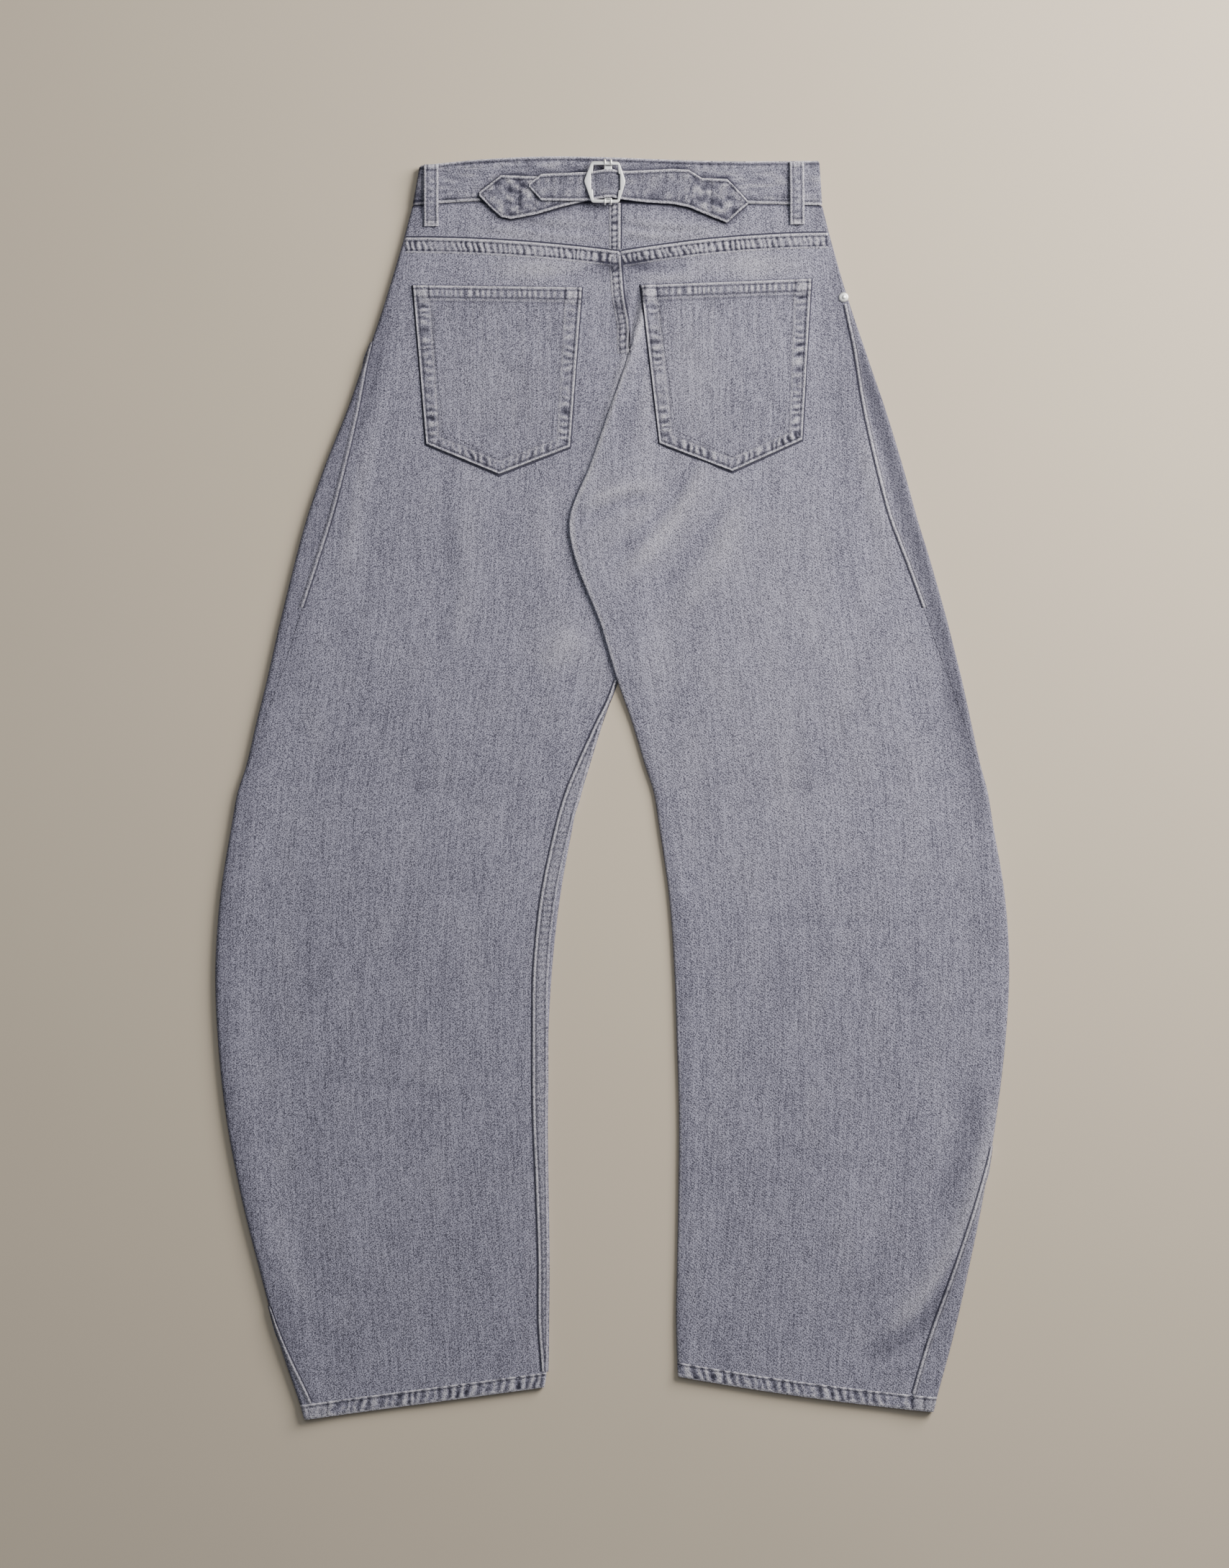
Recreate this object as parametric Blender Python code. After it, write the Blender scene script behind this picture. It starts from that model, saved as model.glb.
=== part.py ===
"""Barrel-leg denim jeans laid flat on their front, so the back lies uppermost.

Every length is in millimetres and is turned into metres when a mesh is made.
X runs to the wearer's right, Y from the hems to the waist, Z up from the surface.
"""

import math
from collections import namedtuple

import bmesh
import bpy
from mathutils import Vector
from mathutils.bvhtree import BVHTree

MM = 0.001
LEFT, RIGHT = -1, 1
SIDE_NAMES = {LEFT: "left", RIGHT: "right"}

# Cloth
PLY = 1.2
SEAM_GAP = 0.3
HEM_WALL = 2.2
HEM_STEP = 0.8
BAND_WALL = 2.4

# Heights of outer faces above the surface
EDGE_TOP = 6.1
BAND_LOW = 1.5
BAND_TOP = 6.9
EDGE_SLOPE = 38.0
CENTRE_SLOPE = 30.0
UNDER_SLOPE = 25.0
UNDER_MARGIN = 6.0

# Steps along the cloth of one section
ARC_STEPS = 4
STRIP_STEPS = 2
BACK_STEPS = 6
FRONT_STEPS = 3
LEAST_ARC = 8.0
LEAST_STRIP = 1.2
FLAT_END = 12.0

# One section across a leg, from the outer edge to the inner edge.
# side_seam and inseam say how far those seams lie inside their edge, less than 0 where they lie beneath.
# middle_top, inner_low and inner_top are heights of the outer face, and low is that of the underside.
# Where folded is 0 the cloth ends flat at the inner point, on the centre seam.
Section = namedtuple(
    "Section",
    "outer_x outer_y inner_x inner_y bow side_seam inseam middle_top inner_low inner_top folded low",
    defaults=(0.0,),
)

LEFT_LEG = [
    Section(-256.5, -525.0, -56.5, -498.0, 0.0, 12.0, 4.0, 5.4, 0.0, 5.4, 1),
    Section(-260.0, -513.0, -54.8, -486.0, 0.0, 12.0, 5.0, 5.4, 0.0, 5.4, 1),
    Section(-277.8, -460.0, -54.0, -443.5, 0.0, 5.5, 8.5, 4.2, 0.0, 4.2, 1),
    Section(-294.0, -400.0, -53.6, -391.0, 0.0, 0.0, 9.0, 3.6, 0.0, 4.0, 1),
    Section(-309.0, -340.0, -54.4, -334.0, 0.0, -4.0, 10.0, 3.6, 0.0, 4.0, 1),
    Section(-321.6, -274.0, -55.0, -271.0, 0.0, -6.0, 12.0, 3.6, 0.0, 4.0, 1),
    Section(-328.6, -208.0, -53.4, -208.0, 0.0, -6.0, 14.0, 3.6, 0.0, 4.0, 1),
    Section(-330.6, -148.0, -50.0, -148.0, 0.0, -6.0, 16.5, 3.6, 0.0, 4.0, 1),
    Section(-326.4, -88.0, -43.2, -88.0, 0.0, -6.0, 17.0, 3.6, 0.0, 4.0, 1),
    Section(-316.8, -28.0, -32.4, -28.0, 0.0, -2.0, 15.0, 3.6, 0.0, 4.0, 1),
    Section(-312.0, -2.0, -27.0, -2.0, 0.0, 1.0, 12.5, 3.6, 0.0, 4.0, 1),
    Section(-304.8, 20.0, -20.4, 20.0, 0.0, 4.0, 10.0, 3.6, 0.0, 3.8, 1),
    Section(-296.4, 56.0, -9.0, 56.0, 0.0, 8.0, 5.0, 3.6, 0.0, 3.6, 1),
    Section(-290.4, 80.0, -0.3, 80.0, 0.0, 11.0, 2.0, 3.6, 0.0, 3.4, 1),
    Section(-286.8, 95.0, 4.8, 95.0, 0.0, 13.0, 2.0, 3.6, 0.0, 3.2, 1),
    Section(-279.4, 128.0, 15.6, 128.0, 0.0, 16.0, 0.0, 3.6, 0.0, 2.8, 1),
    Section(-276.6, 140.0, 19.8, 140.0, 0.0, 17.0, 0.0, 3.6, 0.0, 2.7, 0),
    Section(-264.0, 191.0, 19.8, 191.0, 0.0, 21.0, 0.0, 3.6, 0.0, 2.7, 0),
    Section(-254.4, 226.0, 19.0, 226.0, 0.0, 22.5, 0.0, 3.6, 0.0, 2.7, 0),
    Section(-239.4, 269.5, 17.5, 269.5, 0.0, 19.0, 0.0, 3.6, 0.0, 2.7, 0),
    Section(-220.2, 317.5, 15.3, 317.5, 0.0, 11.0, 0.0, 3.8, 0.0, 2.8, 0),
    Section(-209.6, 348.0, 13.8, 348.0, 0.0, 6.0, 0.0, 4.4, 0.0, 3.2, 0),
    Section(-202.2, 368.0, 13.5, 368.0, 0.0, 3.0, 0.0, 4.9, 0.0, 4.3, 0),
    Section(-193.8, 392.0, 13.2, 387.5, 0.8, -1.0, 0.0, 5.4, 0.0, 5.6, 0),
    Section(-184.5, 421.5, 8.7, 412.0, 1.8, -2.5, 0.0, 5.9, 0.0, 6.1, 0),
    Section(-173.6, 458.5, 6.3, 447.0, 3.0, -2.5, 0.0, 6.1, 0.0, 6.1, 0),
]

RIGHT_LEG = [
    Section(267.6, -518.5, 54.6, -489.0, -2.4, 23.0, -2.6, 5.4, 0.0, 5.4, 1),
    Section(270.6, -506.0, 54.0, -477.0, -2.4, 23.0, -2.6, 5.4, 0.0, 5.4, 1),
    Section(283.8, -457.0, 53.0, -439.0, -1.0, 21.5, -2.6, 4.2, 0.0, 4.2, 1),
    Section(297.0, -399.0, 54.0, -389.5, 0.0, 14.0, -2.6, 3.6, 0.0, 4.0, 1),
    Section(309.0, -340.0, 55.0, -334.0, 0.0, 7.0, -2.6, 3.6, 0.0, 4.0, 1),
    Section(319.8, -274.0, 55.4, -271.0, 0.0, 0.0, -2.6, 3.6, 0.0, 4.0, 1),
    Section(327.6, -208.0, 53.6, -208.0, 0.0, -3.0, -2.6, 3.6, 0.0, 4.0, 1),
    Section(330.6, -148.0, 51.4, -148.0, 0.0, -6.0, -2.6, 3.6, 0.0, 4.0, 1),
    Section(326.8, -88.0, 47.0, -88.0, 0.0, -6.0, -2.6, 3.6, 0.0, 4.0, 1),
    Section(316.8, -28.0, 38.4, -28.0, 0.0, -2.0, -2.6, 3.6, 0.0, 4.0, 1),
    Section(312.6, -2.0, 34.2, -2.0, 0.0, 1.0, -2.6, 3.6, 0.0, 4.0, 1),
    Section(306.6, 20.0, 27.0, 20.0, 0.0, 4.0, -2.6, 3.6, 0.0, 4.0, 1),
    Section(298.8, 56.0, 16.2, 56.0, 0.0, 8.0, -2.6, 3.6, 0.0, 4.0, 1),
    Section(293.6, 80.0, 7.8, 80.0, 0.0, 11.0, -9.7, 3.6, 1.6, 5.0, 1),
    Section(290.2, 95.0, 2.6, 95.0, 0.0, 13.0, -15.9, 3.6, 3.6, 6.6, 1),
    Section(282.0, 128.0, -7.2, 128.0, 0.0, 17.0, -27.0, 3.6, 3.2, 6.1, 1),
    Section(279.0, 140.0, -11.0, 140.0, 0.0, 18.0, -30.8, 3.6, 3.1, 6.0, 1),
    Section(264.6, 191.0, -31.0, 191.0, 0.0, 22.0, -50.8, 3.6, 3.1, 6.0, 1),
    Section(253.8, 226.0, -35.7, 226.0, 0.0, 24.5, -54.7, 3.6, 3.1, 6.0, 1),
    Section(241.8, 269.5, -18.8, 269.5, 0.0, 24.0, -36.3, 3.6, 3.1, 6.0, 1),
    Section(227.1, 317.5, -2.2, 317.5, 0.0, 20.0, -17.5, 3.8, 3.2, 6.1, 1),
    Section(216.6, 348.0, 8.8, 348.0, 0.0, 14.5, -5.0, 4.4, 3.6, 6.5, 1),
    Section(209.8, 368.0, 13.8, 368.0, 0.0, 11.0, 0.0, 4.9, 0.0, 6.6, 0),
    Section(201.6, 392.0, 13.5, 387.5, 0.8, 8.0, 0.0, 5.4, 0.0, 6.4, 0),
    Section(191.4, 424.0, 9.0, 412.0, 2.0, 4.5, 0.0, 5.9, 0.0, 6.1, 0),
    Section(180.6, 462.5, 6.6, 447.0, 3.6, 2.0, 0.0, 6.1, 0.0, 6.1, 0),
]

LEGS = {LEFT: LEFT_LEG, RIGHT: RIGHT_LEG}
CROTCH_ROW = 16

# Top edge of the yokes and of the front panels, where the waistband joins
WAIST_SEAM = {
    LEFT: Section(-166.4, 485.1, 6.3, 489.4, 2.6, -2.5, 0.0, 6.1, 0.0, 6.1, 0, 2.1),
    RIGHT: Section(174.8, 485.1, 6.6, 489.4, 0.0, 2.0, 0.0, 6.1, 0.0, 6.1, 0, 2.1),
}

# Upper edge of the waistband, from the left fold to the right fold
Band = namedtuple("Band", "left_x left_y right_x right_y bow skew")
BAND_EDGE = Band(-160.5, 518.6, 172.4, 522.6, 4.6, 2.6)
BAND_SEAM_GAP = 0.5
BAND_STEPS = 12
BAND_ROWS = 2

# Back pockets: corner, corner, corner, point, corner, from the upper left one clockwise
Pocket = namedtuple("Pocket", "upper_left upper_right lower_right point lower_left")
POCKETS = {
    LEFT: Pocket((-166.2, 419.1), (-25.2, 417.3), (-35.4, 284.7), (-94.2, 261.9), (-155.1, 287.1)),
    RIGHT: Pocket((23.4, 419.1), (165.6, 424.5), (158.1, 290.7), (99.9, 264.3), (39.0, 287.7)),
}
POCKET_HEM = 11.0
POCKET_HEM_WALL = 1.9
POCKET_COLUMNS = 8
POCKET_ROWS = 7
PATCH_GAP = 0.45

# Belt loops on the back: x and y of the upper end, x and y of the lower end
Loop = namedtuple("Loop", "upper_x upper_y lower_x lower_y")
BACK_LOOPS = {
    LEFT: Loop(-150.6, 519.2, -150.6, 468.0),
    RIGHT: Loop(153.3, 521.6, 153.8, 469.5),
}
FRONT_LOOPS = {LEFT: Loop(-92.0, 520.0, -92.0, 478.0), RIGHT: Loop(104.0, 520.0, 104.0, 478.0)}
LOOP_WIDTH = 12.0
LOOP_WALL = 1.8
LOOP_ARCH = 1.6

BUTTON_AT = (10.0, 505.0)
BUTTON_RADIUS = 8.5
RIVET_AT = (192.4, 409.0)
RIVET_RADIUS = 4.2
RIVET_RISE = 1.3

# Fly shield inside the front, beside the centre seam: y, and x of its free edge
Shield = namedtuple("Shield", "y free_x")
FLY = [Shield(484.0, 58.0), Shield(466.0, 58.0), Shield(447.0, 58.0), Shield(392.0, 58.0), Shield(368.0, 46.0)]
FLY_FOLD_X = 24.0

# Back cinch. Each place along a strap: x, y of its upper edge, y of its lower edge, height of its underside
Place = namedtuple("Place", "x upper_y lower_y low")
STRAP_WALL = 1.6
LEFT_STRAP = [
    Place(-110.4, 496.4, 492.6, 7.6),
    Place(-101.6, 503.2, 483.5, 7.3),
    Place(-92.6, 510.3, 475.5, 7.2),
    Place(-84.0, 510.0, 473.9, 7.3),
    Place(-64.0, 509.2, 477.6, 7.4),
    Place(-42.0, 509.0, 484.0, 7.3),
    Place(-18.0, 509.4, 489.6, 7.2),
    Place(-2.0, 510.0, 493.0, 7.2),
]
RIGHT_STRAP = [
    Place(-69.0, 503.0, 499.6, 9.3),
    Place(-59.0, 510.9, 488.7, 9.3),
    Place(-40.0, 511.6, 488.4, 9.3),
    Place(-24.0, 512.4, 488.4, 9.1),
    Place(-16.5, 513.0, 488.8, 9.2),
    Place(-10.5, 513.8, 490.2, 10.3),
    Place(-5.0, 514.6, 491.0, 11.0),
    Place(0.0, 514.6, 491.2, 10.6),
    Place(5.5, 513.8, 490.2, 9.2),
    Place(12.0, 513.4, 489.2, 8.6),
    Place(30.0, 514.4, 487.5, 7.6),
    Place(50.0, 515.4, 486.3, 7.6),
    Place(63.6, 514.6, 483.6, 7.6),
    Place(74.4, 507.8, 479.1, 7.4),
    Place(95.4, 507.0, 470.7, 7.3),
    Place(104.0, 498.4, 478.8, 7.3),
    Place(112.5, 489.0, 485.8, 7.6),
]

# Buckle: a flat frame with pointed sides, and a centre bar hooked round its upper and lower edge
BUCKLE_OUTLINE = [
    (-17.2, 521.0), (5.6, 520.6), (11.0, 503.8), (5.6, 486.4), (-17.2, 486.6), (-23.6, 504.8)
]
BUCKLE_OPENING = [
    (-15.8, 518.0), (4.6, 517.8), (5.2, 510.4), (6.4, 510.4), (6.4, 497.0), (5.2, 497.0),
    (4.4, 489.2), (-15.6, 489.4), (-16.4, 498.0), (-17.8, 498.0), (-17.8, 511.0), (-16.4, 511.0)
]
BUCKLE_LOW = 11.1
BUCKLE_WALL = 1.6
BAR_LEFT, BAR_RIGHT = -6.8, -0.6
BAR_LOW = 9.1
BAR_WALL = 1.3


def ease(t):
    """Smooth step from 0 to 1."""
    t = min(max(t, 0.0), 1.0)
    return t * t * (3.0 - 2.0 * t)


def lerp(a, b, t):
    return a + (b - a) * t


def spread(start, end, steps):
    """Even numbers from start to end, both among them."""
    return [lerp(start, end, i / steps) for i in range(steps + 1)]


def material(name, colour, roughness, metallic=0.0):
    made = bpy.data.materials.new(name)
    made.use_nodes = True
    shader = made.node_tree.nodes["Principled BSDF"]
    shader.inputs["Base Color"].default_value = (*colour, 1.0)
    shader.inputs["Roughness"].default_value = roughness
    shader.inputs["Metallic"].default_value = metallic
    made.diffuse_color = (*colour, 1.0)
    return made


def add_object(name, mesh, look):
    mesh.materials.append(look)
    made = bpy.data.objects.new(name, mesh)
    bpy.context.scene.collection.objects.link(made)
    return made


def finish_mesh(name, bm, smooth=True):
    bmesh.ops.recalc_face_normals(bm, faces=bm.faces)
    mesh = bpy.data.meshes.new(name)
    bm.to_mesh(mesh)
    bm.free()
    if smooth:
        mesh.shade_smooth()
        mesh.set_sharp_from_angle(angle=math.radians(40))
    return mesh


def wall_mesh(name, rows, ring=False):
    """Closed wall from rows of (outer point, inner point) pairs; a ring's rows join end to end."""
    bm = bmesh.new()
    outer = [[bm.verts.new(pair[0] * MM) for pair in row] for row in rows]
    inner = [[bm.verts.new(pair[1] * MM) for pair in row] for row in rows]
    columns = len(rows[0])
    spans = columns if ring else columns - 1
    for i in range(len(rows) - 1):
        for j in range(spans):
            k = (j + 1) % columns
            bm.faces.new((outer[i][j], outer[i][k], outer[i + 1][k], outer[i + 1][j]))
            bm.faces.new((inner[i][j], inner[i + 1][j], inner[i + 1][k], inner[i][k]))
        if not ring:
            for j in (0, columns - 1):
                bm.faces.new((outer[i][j], outer[i + 1][j], inner[i + 1][j], inner[i][j]))
    for i in (0, len(rows) - 1):
        for j in range(spans):
            k = (j + 1) % columns
            bm.faces.new((outer[i][j], outer[i][k], inner[i][k], inner[i][j]))
    return finish_mesh(name, bm)


class Row:
    """One section of a leg, as cloth seen from the outer edge to the inner edge."""

    def __init__(self, section, plateau):
        self.section = section
        self.plateau = plateau
        self.start = Vector((section.outer_x, section.outer_y, 0.0))
        run = Vector((section.inner_x, section.inner_y, 0.0)) - self.start
        self.length = run.length
        self.along = run.normalized()
        self.outer_radius = (EDGE_TOP - section.low) / 2
        self.inner_radius = (section.inner_top - section.inner_low) / 2

    def top(self, s):
        """Height of the outer face of the upper layer at s from the outer edge."""
        section = self.section
        outer = ease(1.0 - (s - self.outer_radius) / EDGE_SLOPE)
        inner = ease(1.0 - (self.length - s - self.plateau) / CENTRE_SLOPE)
        rise = (EDGE_TOP - section.middle_top) * outer + (section.inner_top - section.middle_top) * inner
        return section.middle_top + rise

    def under(self, s):
        """Height of the outer face of the lower layer."""
        section = self.section
        if not section.folded:
            return section.low
        seam = self.length - self.inner_radius - max(0.0, -section.inseam)
        return lerp(section.low, section.inner_low, ease(1.0 - (seam - s) / UNDER_SLOPE))

    def place(self, s, z, wall, across, up):
        """Outer and inner point of the wall at s and z, with its outward direction."""
        bow = self.section.bow * 4.0 * (s / self.length) * (1.0 - s / self.length)
        outer = self.start + self.along * s + Vector((0.0, bow, z))
        return outer, outer - (self.along * across + Vector((0.0, 0.0, up))) * wall

    def on_top(self, s, wall):
        return self.place(s, self.top(s), wall, 0.0, 1.0)

    def beneath(self, s, wall):
        return self.place(s, self.under(s), wall, 0.0, -1.0)

    def round_outer(self, distance, wall):
        """Point at a distance along the cloth from the outer edge, upwards where it is more than 0."""
        radius = self.outer_radius
        quarter = radius * math.pi / 2
        if distance > quarter:
            return self.on_top(radius + distance - quarter, wall)
        if distance < -quarter:
            return self.beneath(radius - distance - quarter, wall)
        angle = distance / radius
        s = radius * (1.0 - math.cos(angle))
        z = self.section.low + radius * (1.0 + math.sin(angle))
        return self.place(s, z, wall, -math.cos(angle), math.sin(angle))

    def round_inner(self, distance, wall):
        """Point at a distance along the cloth from the inner edge, upwards where it is more than 0."""
        radius = self.inner_radius
        quarter = radius * math.pi / 2
        if distance > quarter:
            return self.on_top(self.length - radius - distance + quarter, wall)
        if distance < -quarter:
            return self.beneath(self.length - radius + distance + quarter, wall)
        angle = distance / radius
        s = self.length - radius * (1.0 - math.cos(angle))
        z = self.section.inner_low + radius * (1.0 + math.sin(angle))
        return self.place(s, z, wall, math.cos(angle), math.sin(angle))

    def outer_reach(self, distance):
        """How far in from the outer edge a distance along the cloth brings a point."""
        return self.outer_radius + abs(distance) - self.outer_radius * math.pi / 2

    def inner_reach(self, distance):
        return self.length - self.inner_radius - abs(distance) + self.inner_radius * math.pi / 2

    def back(self, wall):
        """Upper layer, from the side seam to the inseam or the centre seam."""
        quarter = self.outer_radius * math.pi / 2
        level = max(self.plateau, FLAT_END)
        first = self.section.side_seam + SEAM_GAP / 2
        turned = max(quarter, first + LEAST_ARC)
        points = [self.round_outer(d, wall) for d in spread(first, turned, ARC_STEPS)]
        start = self.outer_reach(turned)
        if not self.section.folded:
            knee = self.length - level
            last = self.length - SEAM_GAP / 2
            points += [self.on_top(s, wall) for s in spread(start, knee, BACK_STEPS)[1:]]
            steps = ARC_STEPS + 2 * STRIP_STEPS
            return points + [self.on_top(s, wall) for s in spread(knee, last, steps)[1:]]
        quarter = self.inner_radius * math.pi / 2
        last = self.section.inseam + SEAM_GAP / 2
        turning = max(quarter, last + LEAST_ARC)
        strip = max(-quarter, last + LEAST_STRIP)
        end = self.inner_reach(turning)
        knee = end - level
        points += [self.on_top(s, wall) for s in spread(start, knee, BACK_STEPS)[1:]]
        points += [self.on_top(s, wall) for s in spread(knee, end, STRIP_STEPS)[1:]]
        points += [self.round_inner(d, wall) for d in spread(turning, strip, ARC_STEPS)[1:]]
        return points + [self.round_inner(d, wall) for d in spread(strip, last, STRIP_STEPS)[1:]]

    def front(self, wall):
        """Lower layer, from the side seam round beneath to the inseam or the centre seam."""
        quarter = self.outer_radius * math.pi / 2
        first = self.section.side_seam - SEAM_GAP / 2
        strip = min(quarter, first - LEAST_STRIP)
        turned = min(-quarter, strip - LEAST_ARC / 2)
        points = [self.round_outer(d, wall) for d in spread(first, strip, STRIP_STEPS)]
        points += [self.round_outer(d, wall) for d in spread(strip, turned, ARC_STEPS)[1:]]
        start = self.outer_reach(turned)
        if not self.section.folded:
            flat = self.length - FLAT_END
            last = self.length - SEAM_GAP / 2
            points += [self.beneath(s, wall) for s in spread(start, flat, FRONT_STEPS + STRIP_STEPS)[1:]]
            return points + [self.beneath(s, wall) for s in spread(flat, last, ARC_STEPS + STRIP_STEPS)[1:]]
        quarter = self.inner_radius * math.pi / 2
        last = self.section.inseam - SEAM_GAP / 2
        turning = min(-quarter, last - LEAST_ARC)
        strip = min(quarter, last - LEAST_STRIP)
        end = self.inner_reach(turning)
        foot = end - UNDER_SLOPE
        points += [self.beneath(s, wall) for s in spread(start, foot, FRONT_STEPS)[1:]]
        points += [self.beneath(s, wall) for s in spread(foot, end, STRIP_STEPS)[1:]]
        points += [self.round_inner(d, wall) for d in spread(turning, strip, ARC_STEPS)[1:]]
        return points + [self.round_inner(d, wall) for d in spread(strip, last, STRIP_STEPS)[1:]]


def blend_sections(a, b, t):
    values = [lerp(x, y, t) for x, y in zip(a, b)]
    return Section(*values)._replace(folded=a.folded)


def back_row(side, index):
    """A leg's section as the back panel takes it, with the flat stretch under or over the centre fold."""
    section = LEGS[side][index]
    if side == RIGHT:
        return Row(section, max(0.0, -section.inseam))
    overlap = section.inner_x - RIGHT_LEG[index].inner_x
    return Row(section, max(0.0, overlap + UNDER_MARGIN))


def front_row(side, index):
    """A leg's section as the front panel takes it, ending on the centre front seam above the crotch."""
    section = LEGS[side][index]
    if side == RIGHT and index >= CROTCH_ROW:
        centre = LEFT_LEG[index]
        section = section._replace(
            inner_x=centre.inner_x + SEAM_GAP, inner_y=centre.inner_y, inseam=0.0, inner_low=0.0, folded=0
        )
    return Row(section, 0.0)


def leg_rows(side, make_row, cut):
    """Rows of a panel, the hem's wall thicker up to a small step."""
    hem, hem_end = make_row(side, 0), make_row(side, 1)
    sections = LEGS[side]
    share = HEM_STEP / abs(sections[2].outer_y - sections[1].outer_y)
    step = Row(blend_sections(hem_end.section, sections[2], share)._replace(middle_top=4.9, inner_top=4.9), 0.0)
    rows = [cut(hem, HEM_WALL), cut(hem_end, HEM_WALL), cut(step, PLY)]
    rows += [cut(make_row(side, i), PLY) for i in range(2, len(sections))]
    return rows


def add_legs(denim):
    panels = {}
    for side, name in SIDE_NAMES.items():
        back = leg_rows(side, back_row, Row.back)
        panels[side] = add_object(f"back_{name}", wall_mesh(f"back_{name}", back), denim[side])
        front = leg_rows(side, front_row, Row.front)
        front.append(Row(WAIST_SEAM[side], 0.0).front(PLY))
        add_object(f"front_{name}", wall_mesh(f"front_{name}", front), denim["front"])
    return panels


def add_yokes(look):
    for side, name in SIDE_NAMES.items():
        seam = LEGS[side][-1]
        lower = seam._replace(outer_y=seam.outer_y + SEAM_GAP, inner_y=seam.inner_y + SEAM_GAP)
        rows = [Row(blend_sections(lower, WAIST_SEAM[side], t), 0.0).back(PLY) for t in (0.0, 0.5, 1.0)]
        add_object(f"yoke_{name}", wall_mesh(f"yoke_{name}", rows), look)


def waist_seam_y(x):
    """Y of the seam below the waistband."""
    seam = WAIST_SEAM[LEFT if x < WAIST_SEAM[LEFT].inner_x else RIGHT]
    t = min(max((x - seam.outer_x) / (seam.inner_x - seam.outer_x), 0.0), 1.0)
    return lerp(seam.outer_y, seam.inner_y, t) + seam.bow * 4.0 * t * (1.0 - t)


def band_edge_y(t):
    arch = BAND_EDGE.bow * 4.0 * t * (1.0 - t) + BAND_EDGE.skew * math.sin(2.0 * math.pi * t)
    return lerp(BAND_EDGE.left_y, BAND_EDGE.right_y, t) + arch


def band_row(share):
    """Once round the flattened waistband, at a share of its depth above its seam."""
    radius = (BAND_TOP - BAND_LOW) / 2
    left = lerp(WAIST_SEAM[LEFT].outer_x, BAND_EDGE.left_x, share)
    right = lerp(WAIST_SEAM[RIGHT].outer_x, BAND_EDGE.right_x, share)

    def at(x, z, across, up):
        t = (x - left) / (right - left)
        y = lerp(waist_seam_y(x) + BAND_SEAM_GAP, band_edge_y(t), share)
        outer = Vector((x, y, z))
        return outer, outer - Vector((across, 0.0, up)) * BAND_WALL

    flat = spread(left + radius, right - radius, BAND_STEPS)
    points = [at(x, BAND_TOP, 0.0, 1.0) for x in flat]
    for angle in spread(math.pi / 2, -math.pi / 2, ARC_STEPS + 2)[1:-1]:
        across, up = math.cos(angle), math.sin(angle)
        points.append(at(right - radius * (1.0 - across), BAND_LOW + radius * (1.0 + up), across, up))
    points += [at(x, BAND_LOW, 0.0, -1.0) for x in reversed(flat)]
    for angle in spread(-math.pi / 2, math.pi / 2, ARC_STEPS + 2)[1:-1]:
        across, up = -math.cos(angle), math.sin(angle)
        points.append(at(left + radius * (1.0 + across), BAND_LOW + radius * (1.0 + up), across, up))
    return points


def add_waistband(look):
    rows = [band_row(share) for share in spread(0.0, 1.0, BAND_ROWS)]
    add_object("waistband", wall_mesh("waistband", rows, ring=True), look)


def top_finder(carrier):
    """A function that gives the height of a mesh's upper face, in millimetres, at x and y."""
    mesh = carrier.data
    mesh.calc_loop_triangles()
    tree = BVHTree.FromPolygons(
        [v.co.copy() for v in mesh.vertices], [tuple(t.vertices) for t in mesh.loop_triangles]
    )

    def height(x, y):
        hit = tree.ray_cast(Vector((x * MM, y * MM, 1.0)), Vector((0.0, 0.0, -1.0)))
        return hit[0].z / MM

    return height


def pocket_point(pocket, u, v):
    """Place on a pocket at u from side to side and v from its mouth down."""
    corners = [Vector(corner) for corner in pocket]
    upper_left, upper_right, lower_right, point, lower_left = corners
    mouth = upper_left.lerp(upper_right, u)
    if u < 0.5:
        foot = lower_left.lerp(point, u * 2.0)
    else:
        foot = point.lerp(lower_right, u * 2.0 - 1.0)
    return mouth.lerp(foot, v)


def add_pockets(panels, look):
    depth = POCKETS[LEFT].upper_left[1] - POCKETS[LEFT].lower_left[1]
    hem = POCKET_HEM / depth
    places = [(0.0, POCKET_HEM_WALL), (hem, POCKET_HEM_WALL)]
    places += [(v, PLY) for v in spread(hem + HEM_STEP / depth, 1.0, POCKET_ROWS)]
    for side, name in SIDE_NAMES.items():
        height = top_finder(panels[side])
        rows = []
        for v, wall in places:
            row = []
            for u in spread(0.0, 1.0, POCKET_COLUMNS):
                x, y = pocket_point(POCKETS[side], u, v)
                low = height(x, y) + PATCH_GAP
                row.append((Vector((x, y, low + wall)), Vector((x, y, low))))
            rows.append(row)
        add_object(f"pocket_{name}", wall_mesh(f"pocket_{name}", rows), look)


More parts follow.
